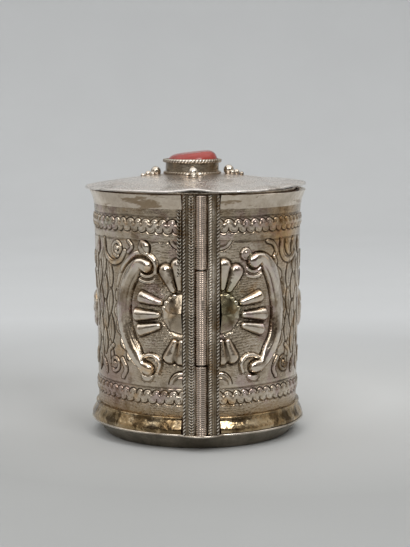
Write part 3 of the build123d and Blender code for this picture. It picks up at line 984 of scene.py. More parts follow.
    def coral(self) -> bpy.types.Material:
        """Polished red coral: warm red with paler clouds and fine pits, under a clear gloss.

        Returns:
            The material.
        """
        material, graph, place = self.start("polished_coral")
        clouds = {"Vector": place, "Scale": 1.0 / 6.0, "Detail": 4.0, "Roughness": 0.55}
        pits = {"Vector": place, "Scale": 1.0 / 0.6, "Detail": 2.0, "Roughness": 0.55}
        bump = {"Strength": 0.15, "Distance": MM, "Height": graph.add("TexNoise", pits)}
        look = {
            "Base Color": graph.add("ValToRGB", {0: graph.add("TexNoise", clouds)}, stops=self.coral_stops),
            "Roughness": 0.2,
            "Specular IOR Level": 0.35,
            "Subsurface Weight": 0.15,
            "Subsurface Radius": (0.002, 0.0008, 0.0006),
            "Coat Weight": 0.15,
            "Coat Roughness": 0.08,
            "Normal": graph.add("Bump", bump),
        }
        graph.add("OutputMaterial", {"Surface": graph.add("BsdfPrincipled", look)})
        return material

    def backdrop(self) -> bpy.types.Material:
        """Pale grey studio paper with the faintest mottle, paler behind the box, with painted light that
        pales it up the wall and a painted pool of light on the table round the box.

        Returns:
            The material.
        """
        material, graph, place = self.start("studio_paper")
        mottle = {"Vector": place, "Scale": 1.0 / 60.0, "Detail": 2.0, "Roughness": 0.55}
        mottle = graph.add("TexNoise", mottle)
        # The third tone is the painted pool of light on the table round the box
        wall, table, rubbed = (
            graph.add("ValToRGB", {0: mottle}, stops=tuple(zip((0.3, 0.7), tones)))
            for tones in (self.wall_tones, self.table_tones, self.light_pool_tones)
        )
        # Painted pool of light: the table takes the paler tone within 45 to 135 mm of the pool's middle
        away = graph.add("VectorMath", {0: place, 1: self.light_pool_place}, "Value", operation="DISTANCE")
        near = graph.add("MapRange", {0: away, 1: 45.0, 2: 135.0, 3: 1.0, 4: 0.0})
        behind = graph.add("MapRange", {0: graph.add("SeparateXYZ", {0: place}, "Y"), 1: 70.0, 2: 230.0})
        # Painted light: the wall pales upwards from 230 to 450 mm
        high = graph.add("MapRange", {0: graph.add("SeparateXYZ", {0: place}, "Z"), 1: 230.0, 2: 450.0})
        wall = graph.add("Mix", {0: high, 6: wall, 7: linear(self.lit_wall)}, 2, data_type="RGBA")
        table = graph.add("Mix", {0: near, 6: table, 7: rubbed}, 2, data_type="RGBA")
        colour = graph.add("Mix", {0: behind, 6: table, 7: wall}, 2, data_type="RGBA")
        shader = graph.add("BsdfPrincipled", {"Base Color": colour, "Roughness": 0.8})
        graph.add("OutputMaterial", {"Surface": shader})
        return material


PAINT = Paint()
FINISHES = Finishes()


def solid(name: str, parts: Sequence[Array], closed: bool = False, layers: Optional[dict[str, Array]] = None,
          crease: float = 50.0) -> Piece:
    """Makes a mesh of section loops carried along paths.

    Each part is a grid of points: stations along the path by points round the section. Faces join
    neighbours on the grid. A path that isn't closed is capped at both ends by its sections.

    Args:
        name: Object name.
        parts: Grids of shape (stations, points, 3) in millimetres.
        closed: Whether the paths join up with themselves.
        layers: Point attributes by name, one value for each point of all parts.
        crease: Angle in degrees above which an edge is sharp.

    Returns:
        The object, at the origin.
    """
    points, corners, sizes = [], [], []
    offset = 0
    for grid in parts:
        stations, around = grid.shape[:2]
        index = offset + np.arange(stations * around).reshape(stations, around)
        rows = np.vstack([index, index[:1]]) if closed else index
        ahead = np.roll(rows, -1, axis=1)
        quads = np.stack([rows[:-1], ahead[:-1], ahead[1:], rows[1:]], axis=-1).reshape(-1, 4)
        places = grid.reshape(-1, 3)
        a, b, c, d = (places[quads[:, k] - offset] for k in range(4))
        volume = np.einsum("ij,ij->", a, np.cross(b, c) + np.cross(c, d))
        caps = [] if closed else [index[0][::-1], index[-1]]
        for cap in caps:
            ring = places[cap - offset]
            fan = np.cross(ring[1:-1], ring[2:])
            volume += np.einsum("j,ij->", ring[0], fan)
        if volume < 0:
            quads = quads[:, ::-1]
            caps = [cap[::-1] for cap in caps]
        points.append(places)
        corners += [quads.ravel(), *caps]
        sizes += [np.full(len(quads), 4), *[np.array([len(cap)]) for cap in caps]]
        offset += len(places)
    places = np.vstack(points) * MM
    corner = np.concatenate(corners)
    size = np.concatenate(sizes)
    mesh = bpy.data.meshes.new(name)
    mesh.vertices.add(len(places))
    mesh.vertices.foreach_set("co", places.astype(np.float32).ravel())
    mesh.loops.add(len(corner))
    mesh.loops.foreach_set("vertex_index", corner.astype(np.int32))
    mesh.polygons.add(len(size))
    mesh.polygons.foreach_set("loop_start", np.concatenate([[0], np.cumsum(size)[:-1]]).astype(np.int32))
    mesh.update(calc_edges=True)
    for layer, values in (layers or {}).items():
        made = mesh.attributes.new(layer, "FLOAT", "POINT")
        made.data.foreach_set("value", values.astype(np.float32).ravel())
    mesh.polygons.foreach_set("use_smooth", np.ones(len(size), bool))
    mesh.set_sharp_from_angle(angle=radians(crease))
    piece = bpy.data.objects.new(name, mesh)
    bpy.context.scene.collection.objects.link(piece)
    return piece


def dress(piece: Piece, body: str, slot: str, material: bpy.types.Material, *nodes: str) -> Piece:
    """Gives a piece its body and material, and hides the nodes that it stands for.

    Args:
        piece: The piece.
        body: Body that it rides on.
        slot: Not used.
        material: Its material.
        nodes: Names of the nodes that it stands for.

    Returns:
        The piece.
    """
    piece.data.materials.append(material)
    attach(piece, body)
    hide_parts(*nodes)
    return piece


def dress_node(name: str, finish: Finish) -> Piece:
    """Gives a solid of the frame, which keeps its own mesh, a metal finish.

    Args:
        name: Node name.
        finish: Look of the metal.

    Returns:
        The node's object.
    """
    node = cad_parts[name]
    node.data.materials.clear()
    node.data.materials.append(PAINT.metal(finish))
    return node


def turned(radius: Array, height: Array, angle: Array, mirror: int = 1) -> Array:
    """Points of a turned form: radius and height broadcast against angles from the front.

    Args:
        radius: Radii in millimetres.
        height: Heights in millimetres.
        angle: Angles from -Y, towards +X.
        mirror: -1 turns towards -X.

    Returns:
        An array of points.
    """
    radius, height, angle = np.broadcast_arrays(radius, height, angle)
    return np.stack([mirror * radius * np.sin(angle), -radius * np.cos(angle), height], axis=-1)


@dataclass(frozen=True)
class Wall:
    """Embossed wall, collars and sleeve of one half."""

    side: Side
    grid: float = 0.2
    field_low: float = 19.6
    field_high: float = 62.4
    panel_low: float = 10.0
    panel_high: float = 71.5
    rosette_height: float = 40.8
    boss_drop: float = -2.4
    field_line: float = 21.2
    upper_braid: float = 66.55
    upper_line: float = 69.2
    lower_braid: float = 15.6
    lower_line: float = 18.5
    sheet_start: float = 5.42
    crack: float = 0.2
    deepest: float = -0.5
    ground_relief: float = 0.22
    rosette_reach: float = 16.0
    collar_neck: float = 32.2
    collar_flare: float = 1.25
    collar_rise: float = 4.0
    skirt_radius: float = 32.9
    skirt_ease: float = 1.3
    skirt_low: float = 6.0
    skirt_rise: float = 3.4
    ring_steps: int = 260
    sleeve_steps: int = 181
    shake: float = 0.22
    dent_depth: float = 0.1
    seam_radius: float = 31.0
    collar_rim: tuple[Point, ...] = ((33.52, 75.6), (33.45, 75.7), (33.0, 75.7))
    bead_place: Point = (31.55, 9.7)
    bead_size: Pair = (0.32, 0.3)

    @property
    def seed(self) -> float:
        """Which unevenness the half has."""
        return 1.3 if self.side is Side.LEFT else 4.1

    def front_reach(self, z: Array) -> Array:
        """How far from the middle plane the sheet starts: the right one leaves a crack half way up."""
        gap = smoothstep(z, 22.0, 28.0) * (1 - smoothstep(z, 54.0, 58.0))
        return self.sheet_start + (self.crack if self.side is Side.RIGHT else 0.0) * gap

    def chased(self, band: Band, along: Array, above: Array) -> Chasing:
        """Works a band's pattern on a quarter turn, on a slightly shaken grid.

        Args:
            band: Which band.
            along: Arc length of each grid point from the stile.
            above: Height of each grid point over the rosette's middle.

        Returns:
            The worked sheet.
        """
        sheet = Chasing(along + self.shake * lumps(along * 0.25, above * 0.25, self.seed),
                        above + self.shake * lumps(along * 0.22, above * 0.22, self.seed + 2))
        if band is Band.FIELD:
            sheet.score(sheet.above - self.field_line, 0.3, 0.1, 0.3)
            boss = SideBoss((along.max(), self.boss_drop))
            for pattern in (Foliage(self.side), Bracket(self.side), Rosette(), boss):
                pattern.work(sheet)
        elif band is Band.TOP:
            Braid(self.upper_braid - self.rosette_height).work(sheet)
            sheet.score(sheet.above - (self.upper_line - self.rosette_height), 0.3, 0.12, 0.3)
        else:
            Braid(self.lower_braid - self.rosette_height).work(sheet)
            sheet.score(sheet.above - (self.lower_line - self.rosette_height), 0.26, 0.2, 0.3)
        return sheet

    def shades(self, band: Band, sheet: Chasing, columns: Array, rows: Array) -> tuple[Array, Array]:
        """Patina and painted shade by place: dark where the sheet lies below its blurred self, plus dirt in
        the lines and painted shade, less polished parts and painted sheen.

        The stipple covers what lies near the plain ground: exp(-(relief / 0.22)^2).

        Args:
            band: Which band.
            sheet: Its worked sheet.
            columns: Arc lengths of the grid.
            rows: Heights of the grid.

        Returns:
            Darkness and stipple of each point of both quarter turns.
        """
        relief = mirrored(np.maximum(sheet.height, self.deepest))
        hollow = np.clip((blur(relief, 6) - relief) * 0.28 + (blur(relief, 2) - relief) * 0.95, -0.4, 0.55)
        # Adds the dirt of the lines and the painted shade, less the polished parts and the painted sheen
        hollow = hollow + mirrored(sheet.grime_and_shade - 0.24 * blur(sheet.polish, 2))
        ground = np.exp(-((relief / self.ground_relief) ** 2))
        if band is Band.FIELD:
            away = np.hypot(columns[:, None], rows[None, :] - self.rosette_height)
            near = mirrored(np.exp(-((away / self.rosette_reach) ** 4)))
            hollow = hollow + 0.13 * ground * near
            ground = ground * (0.3 + 0.7 * near)
        else:
            ground = (0.2 + 0.6 * smoothstep(-rows, -14.0, -13.0))[None, :] * ground
            # Painted shade: the plain band between the upper line and the collar darkens, as under the
            # collar's lower edge
            hollow = hollow + 0.16 * smoothstep(rows, 68.6, 69.4)[None, :]
        # Painted shade: the left half's sheet darkens beside its front stile towards the top, in the gap
        # under the upper collar
        if self.side is Side.LEFT:
            beside = smoothstep(-columns, -2.6, -0.6)[:, None] * smoothstep(rows, 56.0, 63.0)[None, :]
            hollow[: len(columns)] += 0.45 * beside
        return hollow, ground

    def sheet_piece(self, band: Band, low: float, high: float) -> Piece:
        """One height band of the embossed sheet.

        The outer face is the wall's radius plus the chased height on a grid of arc length and height,
        worked for a quarter turn and mirrored for the other. The inner face is the plain wall.

        Args:
            band: Which band.
            low: Its lowest height.
            high: Its highest height.

        Returns:
            The piece.
        """
        radius = DRUM.wall(self.rosette_height)
        first, last = DRUM.sweep(radius)
        reach = (last - first) / 2 * radius
        rows = np.linspace(low, high, int(round((high - low) / self.grid)) + 1)
        columns = np.linspace(0, reach, int(round(reach / self.grid)) + 1)
        along, height = np.meshgrid(columns, rows, indexing="ij")
        sheet = self.chased(band, along, height - self.rosette_height)
        relief = mirrored(np.maximum(sheet.height, self.deepest))
        share = np.linspace(0, 1, len(relief))[:, None]
        start = np.arcsin(self.front_reach(rows) / radius)[None, :]
        angle = start + share * (last - start)
        dents = self.dent_depth * lumps(angle * 5, rows[None, :] * 0.16, self.seed)
        outer = DRUM.wall(rows)[None, :] + relief + dents
        inner = np.array([DRUM.wall(high), DRUM.wall(low)]) - DRUM.sheet
        radii = np.hstack([outer, np.broadcast_to(inner, (len(relief), 2))])
        heights = np.concatenate([rows, [high, low]])[None, :]
        back = np.zeros((len(relief), 2))
        shades = self.shades(band, sheet, columns, rows)
        layers = {name: np.hstack([shade, back]) for name, shade in zip(("hollow", "ground"), shades)}
        angle = np.hstack([angle, angle[:, -1:], angle[:, :1]])
        loops = turned(radii, heights, angle, self.side.value)
        return solid(f"{self.side.label}_{band.value}", [loops], layers=layers, crease=80.0)

    def ring(self, label: str, profile: Array, dent: float, seed: float) -> Piece:
        """A half ring: a section carried round the axis between the stiles, with soft dents.

        Args:
            label: What the ring is called.
            profile: Radius and height of each corner of the section, in order.
            dent: Depth of the dents.
            seed: Which dents.

        Returns:
            The piece.
        """
        radius, height = profile[None, :, 0], profile[None, :, 1]
        first, last = DRUM.sweep(DRUM.wall(height.mean()))
        angle = np.linspace(first, last, self.ring_steps)[:, None]
        radius = radius + dent * lumps(angle * 9, height * 0.5, seed)
        return solid(f"{self.side.label}_{label}", [turned(radius, height, angle, self.side.value)])

    def top_collar(self) -> Piece:
        """Cavetto collar: the radius grows with the height to the power 1.8, up to a rolled rim.

        Returns:
            The piece.
        """
        rise = np.linspace(0, 1, 18)[:, None]
        flare = self.collar_neck + self.collar_flare * rise**1.8
        outer = np.hstack([flare, self.panel_high + self.collar_rise * rise])
        inner = np.hstack([31.6 + 1.2 * rise[::-1] ** 1.8, 72.3 + 3.2 * rise[::-1]])
        profile = np.vstack([outer, self.collar_rim, inner, [(31.4, self.panel_high)]])
        return self.ring("top_collar", profile, 0.1, 2.0 + self.side.value)

    def bottom_collar(self) -> Piece:
        """Swept collar: an upright band, a shoulder that eases in by 3t^2 - 2t^3, and a bead at the neck.

        Returns:
            The piece.
        """
        floor = DRUM.floor(self.side)
        rise = np.linspace(0, 1, 18)
        shoulder = self.skirt_radius - self.skirt_ease * smoothstep(rise, 0.0, 1.0)
        outer = np.column_stack([shoulder, self.skirt_low + self.skirt_rise * rise])
        turn = np.linspace(-pi / 2, pi / 2, 8)
        (radius, height), (wide, high) = self.bead_place, self.bead_size
        bead = np.column_stack([radius + wide * np.cos(turn), height + high * np.sin(turn)])
        inner = [(30.5, 10.0), (30.5, 9.2), (32.2, self.skirt_low), (32.2, floor)]
        profile = np.vstack([[(self.skirt_radius, floor)], outer, bead, inner])
        return self.ring("bottom_collar", profile, 0.12, 5.0 + self.side.value)

    def sleeve(self) -> Piece:
        """Plain tapered sleeve: a four-cornered section carried round the axis and cut along the seam.

        Returns:
            The piece.
        """
        floor = DRUM.floor(self.side)
        heights = np.array([[floor, DRUM.top, DRUM.top, floor]])
        radius = DRUM.wall(heights) - DRUM.sheet - np.array([[0, 0, DRUM.sleeve, DRUM.sleeve]])
        start = asin(DRUM.seam / self.seam_radius)
        angle = np.linspace(start, pi - start, self.sleeve_steps)[:, None]
        return solid(f"{self.side.label}_inner_sleeve", [turned(radius, heights, angle, self.side.value)])

    def build(self) -> list[Piece]:
        """Makes and dresses the half's wall pieces and its stiles.

        Returns:
            The pieces.
        """
        label, body = self.side.label, self.side.body
        silver = PAINT.metal(FINISHES.embossed)
        bands = (
            (Band.FIELD, self.field_low, self.field_high),
            (Band.TOP, self.field_high, self.panel_high),
            (Band.BOTTOM, self.panel_low, self.field_low),
        )
        sheets = (self.sheet_piece(*band) for band in bands)
        pieces = [dress(sheet, body, "embossed_silver", silver, f"{label}_panel") for sheet in sheets]
        plain = (
            (self.top_collar(), "silver", FINISHES.collar, f"{label}_top_collar"),
            (self.bottom_collar(), "silver", FINISHES.gilt, f"{label}_bottom_collar"),
            (self.sleeve(), "sleeve_copper", FINISHES.copper, f"{label}_sleeve"),
        )
        pieces += [dress(piece, body, slot, PAINT.metal(finish), node) for piece, slot, finish, node in plain]
        return pieces + [dress_node(f"{label}_{end.name.lower()}_stile", FINISHES.wire) for end in End]


@dataclass(frozen=True)
class Wire:
    """Upright wire on a stile, of strands twisted round each other; one of no strands is plain."""

    node: str
    side: Side
    end: End
    places: tuple[float, ...]
    radius: float
    pitch: float
    hands: tuple[int, ...]
    strands: int = 2
    face: float = DRUM.stile_face
    low: float = 0.0
    high: float = DRUM.top
    step: float = 0.11
    around: int = 20
    core: float = 0.62
    lobe_rise: float = 0.42
    middle_tone: float = 0.65

    def strand_loops(self, place: float, hand: int) -> tuple[Array, Array]:
        """A lobed section that turns evenly as it is carried up: r = R (a + b |cos(n (phi - turn) / 2)|^0.5).

        Args:
            place: Distance from the middle plane.
            hand: 1 or -1, the way that it twists.

        Returns:
            The points, and how far each lies on a lobe.
        """
        z = np.arange(max(self.low, DRUM.floor(self.side)), self.high, self.step)[:, None]
        phi = np.linspace(0, 2 * pi, self.around, endpoint=False)[None, :]
        turn = hand * 2 * pi * z / self.pitch
        lobe = np.abs(np.cos(0.5 * self.strands * (phi - turn)))
        radius = self.radius * (self.core + self.lobe_rise * np.sqrt(lobe))
        radius = radius * (1 + 0.03 * np.sin(z * 0.9 + place))
        x = self.side.value * place + radius * np.cos(phi)
        y = self.end.value * self.face + radius * np.sin(phi)
        return np.stack([x, y, np.broadcast_to(z, x.shape)], axis=-1), lobe

    def build(self) -> list[Piece]:
        """Makes the wire's strands as one piece, dark between the lobes.

        Returns:
            The piece, in a list.
        """
        made = [self.strand_loops(place, hand) for place, hand in zip(self.places, self.hands)]
        plain = self.middle_tone if self.strands == 0 else 0.0
        hollow = np.concatenate([(1.5 * (self.middle_tone - lobe) + plain).ravel() for _, lobe in made])
        name = f"{self.node}_{round(100 * self.places[0])}"
        piece = solid(name, [loops for loops, _ in made], layers={"hollow": hollow}, crease=70.0)
        return [dress(piece, self.side.body, "silver", PAINT.metal(FINISHES.wire), self.node)]


def stile_wires() -> tuple[Wire, ...]:
    """The wires of all four stiles, placed by their distance from the middle plane.

    Returns:
        The wires, and a short pair beside the top of the left front stile.
    """
    outer, inner = 4.93, 4.19
    plait, short_pair, rear = (2.45, 3.3), (5.9, 6.65), (0.65, 1.5)
    left, right, front = Side.LEFT, Side.RIGHT, End.FRONT
    wires = [
        Wire("left_front_border_wires", left, front, (outer,), 0.38, 2.08, (1,)),
        Wire("left_front_border_wires", left, front, (inner,), 0.3, 2.08, (1,), strands=0),
        Wire("left_front_border_wires", left, front, short_pair, 0.38, 2.08, (1, -1), 2, 32.25, 52.0, 71.3),
        Wire("left_front_plait_wires", left, front, plait, 0.46, 1.67, (1, -1)),
        Wire("right_front_rope_wire", right, front, (2.65,), 0.64, 1.6, (1,)),
        Wire("right_front_bead_wire", right, front, (inner,), 0.3, 2.05, (1,), strands=0),
        Wire("right_front_border_wire", right, front, (outer,), 0.42, 2.05, (1,)),
    ]
    for side in Side:
        wires.append(Wire(f"{side.label}_rear_border_wire", side, End.REAR, (3.13,), 0.34, 1.5, (1,)))
        wires.append(Wire(f"{side.label}_rear_plait_wires", side, End.REAR, rear, 0.46, 1.9, (1, -1)))
    return tuple(wires)


@dataclass(frozen=True)
class Hinge:
    """Three ringed knuckles on a pin at the front."""

    breaks: Pair = (25.927, 54.127)
    gap: float = 0.4
    bore: float = 0.8
    ring_pitch: float = 0.57
    ring_depth: float = 0.11
    end_chamfer: float = 0.12
    web_x: Pair = (0.9, 1.95)
    web_y: Pair = (0.2, 1.4)

    def knuckle(self, node: str, side: Side, low: float, high: float) -> list[Piece]:
        """A tube with engraved rings, r = R - depth * (a narrow notch in each pitch), and its web.

        Args:
            node: Node that it stands for.
            side: Half that carries it.
            low: Its lower end.
            high: Its upper end.

        Returns:
            The barrel and the web.
        """
        z = np.arange(low, high, self.ring_pitch / 6)
        phase = np.abs(np.mod(z / self.ring_pitch, 1.0) - 0.5) * 2
        notch = smoothstep(phase, 0.45, 1.0)
        worn = 0.75 + 0.25 * smoothstep(lumps(z * 0.12, z * 0.05, 2.0), -0.4, 0.3)
        outside = DRUM.barrel_radius - self.ring_depth * notch * worn
        outside[[0, -1]] -= self.end_chamfer
        radius = np.concatenate([outside, [self.bore, self.bore]])
        heights = np.concatenate([z, [z[-1], z[0]]])
        angle = np.linspace(0, 2 * pi, 40, endpoint=False)[None, :]
        loops = turned(radius[:, None], heights[:, None], angle)
        loops[..., 1] -= DRUM.barrel_axis
        hollow = np.concatenate([notch * worn * 0.9 - 0.2, [0.5, 0.5]])[:, None] * np.ones_like(angle)
        barrel = solid(f"{node}_barrel", [loops], closed=True, layers={"hollow": hollow}, crease=60.0)
        (near, far), (front, back) = self.web_x, self.web_y
        x = side.value * np.array([near, far, far, near])
        y = np.array([front, front, back, back]) - DRUM.barrel_axis
        web = np.stack([np.column_stack([x, y, np.full(4, h)]) for h in (low, high)])
        return [
            dress(barrel, side.body, "silver", PAINT.metal(FINISHES.barrel), node),
            dress(solid(f"{node}_web", [web]), side.body, "silver", PAINT.metal(FINISHES.wire), node),
        ]

    def build(self) -> list[Piece]:
        """Makes the knuckles; the pin and the lip keep their own solids.

        Returns:
            The pieces.
        """
        low, high = self.breaks
        half = self.gap / 2
        return [
            *self.knuckle("lower_knuckle", Side.LEFT, DRUM.rim, low - half),
            *self.knuckle("middle_knuckle", Side.RIGHT, low + half, high - half),
            *self.knuckle("upper_knuckle", Side.LEFT, high + half, DRUM.top),
            dress_node("hinge_pin", FINISHES.steel),
            dress_node("closing_lip", FINISHES.copper),
        ]


@dataclass(frozen=True)
class Foot:
    """Base disc with its bulge under the hinge, and the blackened pan below it."""

    disc_radius: float = 33.2
    disc_steps: int = 400
    half_sheet: float = 0.3
    bulge_radius: float = 8.5
    bulge_y: float = -26.9
    low: float = 4.6
    hub: float = 0.4
    knee_radius: float = 1.2
    knee_centre: float = 27.9
    lip: Pair = (31.7, 32.5)

    def disc(self) -> Piece:
        """Disc whose edge is the farther of a circle and the bulge's circle, with a rounded rim.

        Returns:
            The piece.
        """
        angle = np.linspace(0, 2 * pi, self.disc_steps, endpoint=False)
        ahead = -self.bulge_y * np.cos(angle)
        inside = ahead**2 - self.bulge_y**2 + self.bulge_radius**2
        bulge = np.where((inside > 0) & (ahead > 0), ahead + np.sqrt(np.maximum(inside, 0)), 0)
        edge = np.maximum(self.disc_radius, bulge) + 0.06 * lumps(angle * 7, angle * 3, 1.0)
        turn = np.linspace(-pi / 2, pi / 2, 7)[:, None]
        rim = edge[None, :] - self.half_sheet + self.half_sheet * np.cos(turn)
        levels = self.low + self.half_sheet + self.half_sheet * np.sin(turn)
        hub = np.full((1, self.disc_steps), self.hub)
        heights = np.vstack([[[self.low]], levels, [[self.low + 2 * self.half_sheet]]])
        return solid("base_disc_sheet", [turned(np.vstack([hub, rim, hub]), heights, angle[None, :])])

    def pan(self) -> Piece:
        """Turned dish: a flat floor, a rounded knee and a splayed wall, hollow above.

        Returns:
            The piece.
        """
        turn = np.linspace(-pi / 2, -0.35, 8)
        bend = self.knee_radius * np.column_stack([np.cos(turn), np.sin(turn)])
        knee = bend + np.array([self.knee_centre, self.knee_radius])
        inner_lip, outer_lip = self.lip
        inside = [(outer_lip, self.low), (inner_lip, self.low), (28.4, 1.6), (27.2, 0.8), (self.hub, 0.8)]
        profile = np.vstack([[(self.hub, 0.0)], knee, inside])
        radius, height = profile[:, :1], profile[:, 1:]
        angle = np.linspace(0, 2 * pi, 240, endpoint=False)[None, :]
        radius = radius + 0.08 * lumps(angle * 5, height * 0.5, 3.0) * (radius > 20)
        return solid("foot_pan_sheet", [turned(radius, height, angle)], crease=35.0)

    def build(self) -> list[Piece]:
        """Makes and dresses both pieces.

        Returns:
            The pieces.
        """
        return [
            dress(self.disc(), "left_half", "silver", PAINT.metal(FINISHES.bright), "base_disc"),
            dress(self.pan(), "left_half", "blackened_copper", PAINT.metal(FINISHES.black), "foot_pan"),
        ]


@dataclass(frozen=True)
class Lid:
    """Wavy lid sheet with its collar."""

    radius: float = 34.2
    shift: float = -0.6
    edge: float = 75.85
    thickness: float = 0.6
    swell: float = 0.35
    rim_bend: float = 0.4
    hinge_bend: float = 0.75
    right_bend: float = 0.85
    left_bend: float = -0.3
    collar_sheet: float = 0.6
    collar_seat: float = 0.4

    def lift(self, x: Array, y: Array) -> Array:
        """How far the rim is bent: up beside the hinge and at the right, slightly down at the left.

        Args:
            x: Places along X.
            y: Places along Y.

        Returns:
            Heights, growing outwards from 22 mm.
        """
        angle = np.degrees(np.arctan2(x, -y))
        hinge = self.hinge_bend * np.exp(-(((angle + 3) / 8) ** 2))
        right = self.right_bend * smoothstep(angle, 25, 62) * (1 - smoothstep(angle, 120, 165))
        left = self.left_bend * np.exp(-(((angle + 88) / 26) ** 2))
        share = smoothstep(np.hypot(x, y), 22.0, 34.0)
        return (self.rim_bend + hinge + right + left) * share**1.5

    def sheet(self) -> Piece:
        """Disc of two faces: a flat crown, a cone of slightly swelling slope, and the bent rim.

        Returns:
            The piece.
        """
        inner = np.concatenate([[0.4, 6.0, DRUM.crown_radius], np.linspace(11.0, self.radius - 0.2, 46)])
        rings = np.concatenate([inner, [self.radius, self.radius], inner[::-1]])[:, None]
        top = np.concatenate([np.zeros(len(inner)), [0.2, 0.8], np.ones(len(inner))])[:, None]
        angle = np.linspace(0, 2 * pi, 320, endpoint=False)[None, :]
        points = turned(rings, np.zeros((1, 1)), angle)
        share = np.clip((rings - DRUM.crown_radius) / (self.radius - DRUM.crown_radius), 0, 1)
        slope = DRUM.cone_rise * (1 - share) + self.swell * np.sin(pi * share)
        away = smoothstep(rings, 11.0, 20.0)
        x, y = points[..., 0], points[..., 1]
        dents = 0.07 * away * lumps(x * 0.35, y * 0.35, 2.2) + 0.025 * away * lumps(x * 1.3, y * 1.3, 5.0)
        points[..., 2] = self.edge + slope + self.thickness * top + self.lift(x, y) + dents
        points[..., 0] += self.shift * share
        worn = 0.4 * smoothstep(rings, 33.4, self.radius)
        hollow = np.broadcast_to(0.3 * np.exp(-(((rings - 10.4) / 4) ** 2)) - worn, x.shape)
        return solid("lid_sheet", [points], layers={"hollow": hollow, "ground": np.ones_like(x)})

    def collar(self) -> Piece:
        """Plain ring that drops inside the sleeves: a four-cornered section carried round the axis.

        Returns:
            The piece.
        """
        outside = float(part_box("lid_collar")[1][0]) / MM
        low = float(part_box("lid_collar")[0][2]) / MM
        high = self.edge + self.collar_seat
        inside = outside - self.collar_sheet
        radius = np.array([[outside, outside, inside, inside]])
        height = np.array([[low, high, high, low]])
        angle = np.linspace(0, 2 * pi, 240, endpoint=False)[:, None]
        return solid("lid_inner_collar", [turned(radius, height, angle)], closed=True)

    def build(self) -> list[Piece]:
        """Makes and dresses both pieces.

        Returns:
            The pieces.
        """
        return [
            dress(self.sheet(), "lid", "silver", PAINT.metal(FINISHES.lid), "lid_cone"),
            dress(self.collar(), "lid", "silver", PAINT.metal(FINISHES.collar), "lid_collar"),
        ]


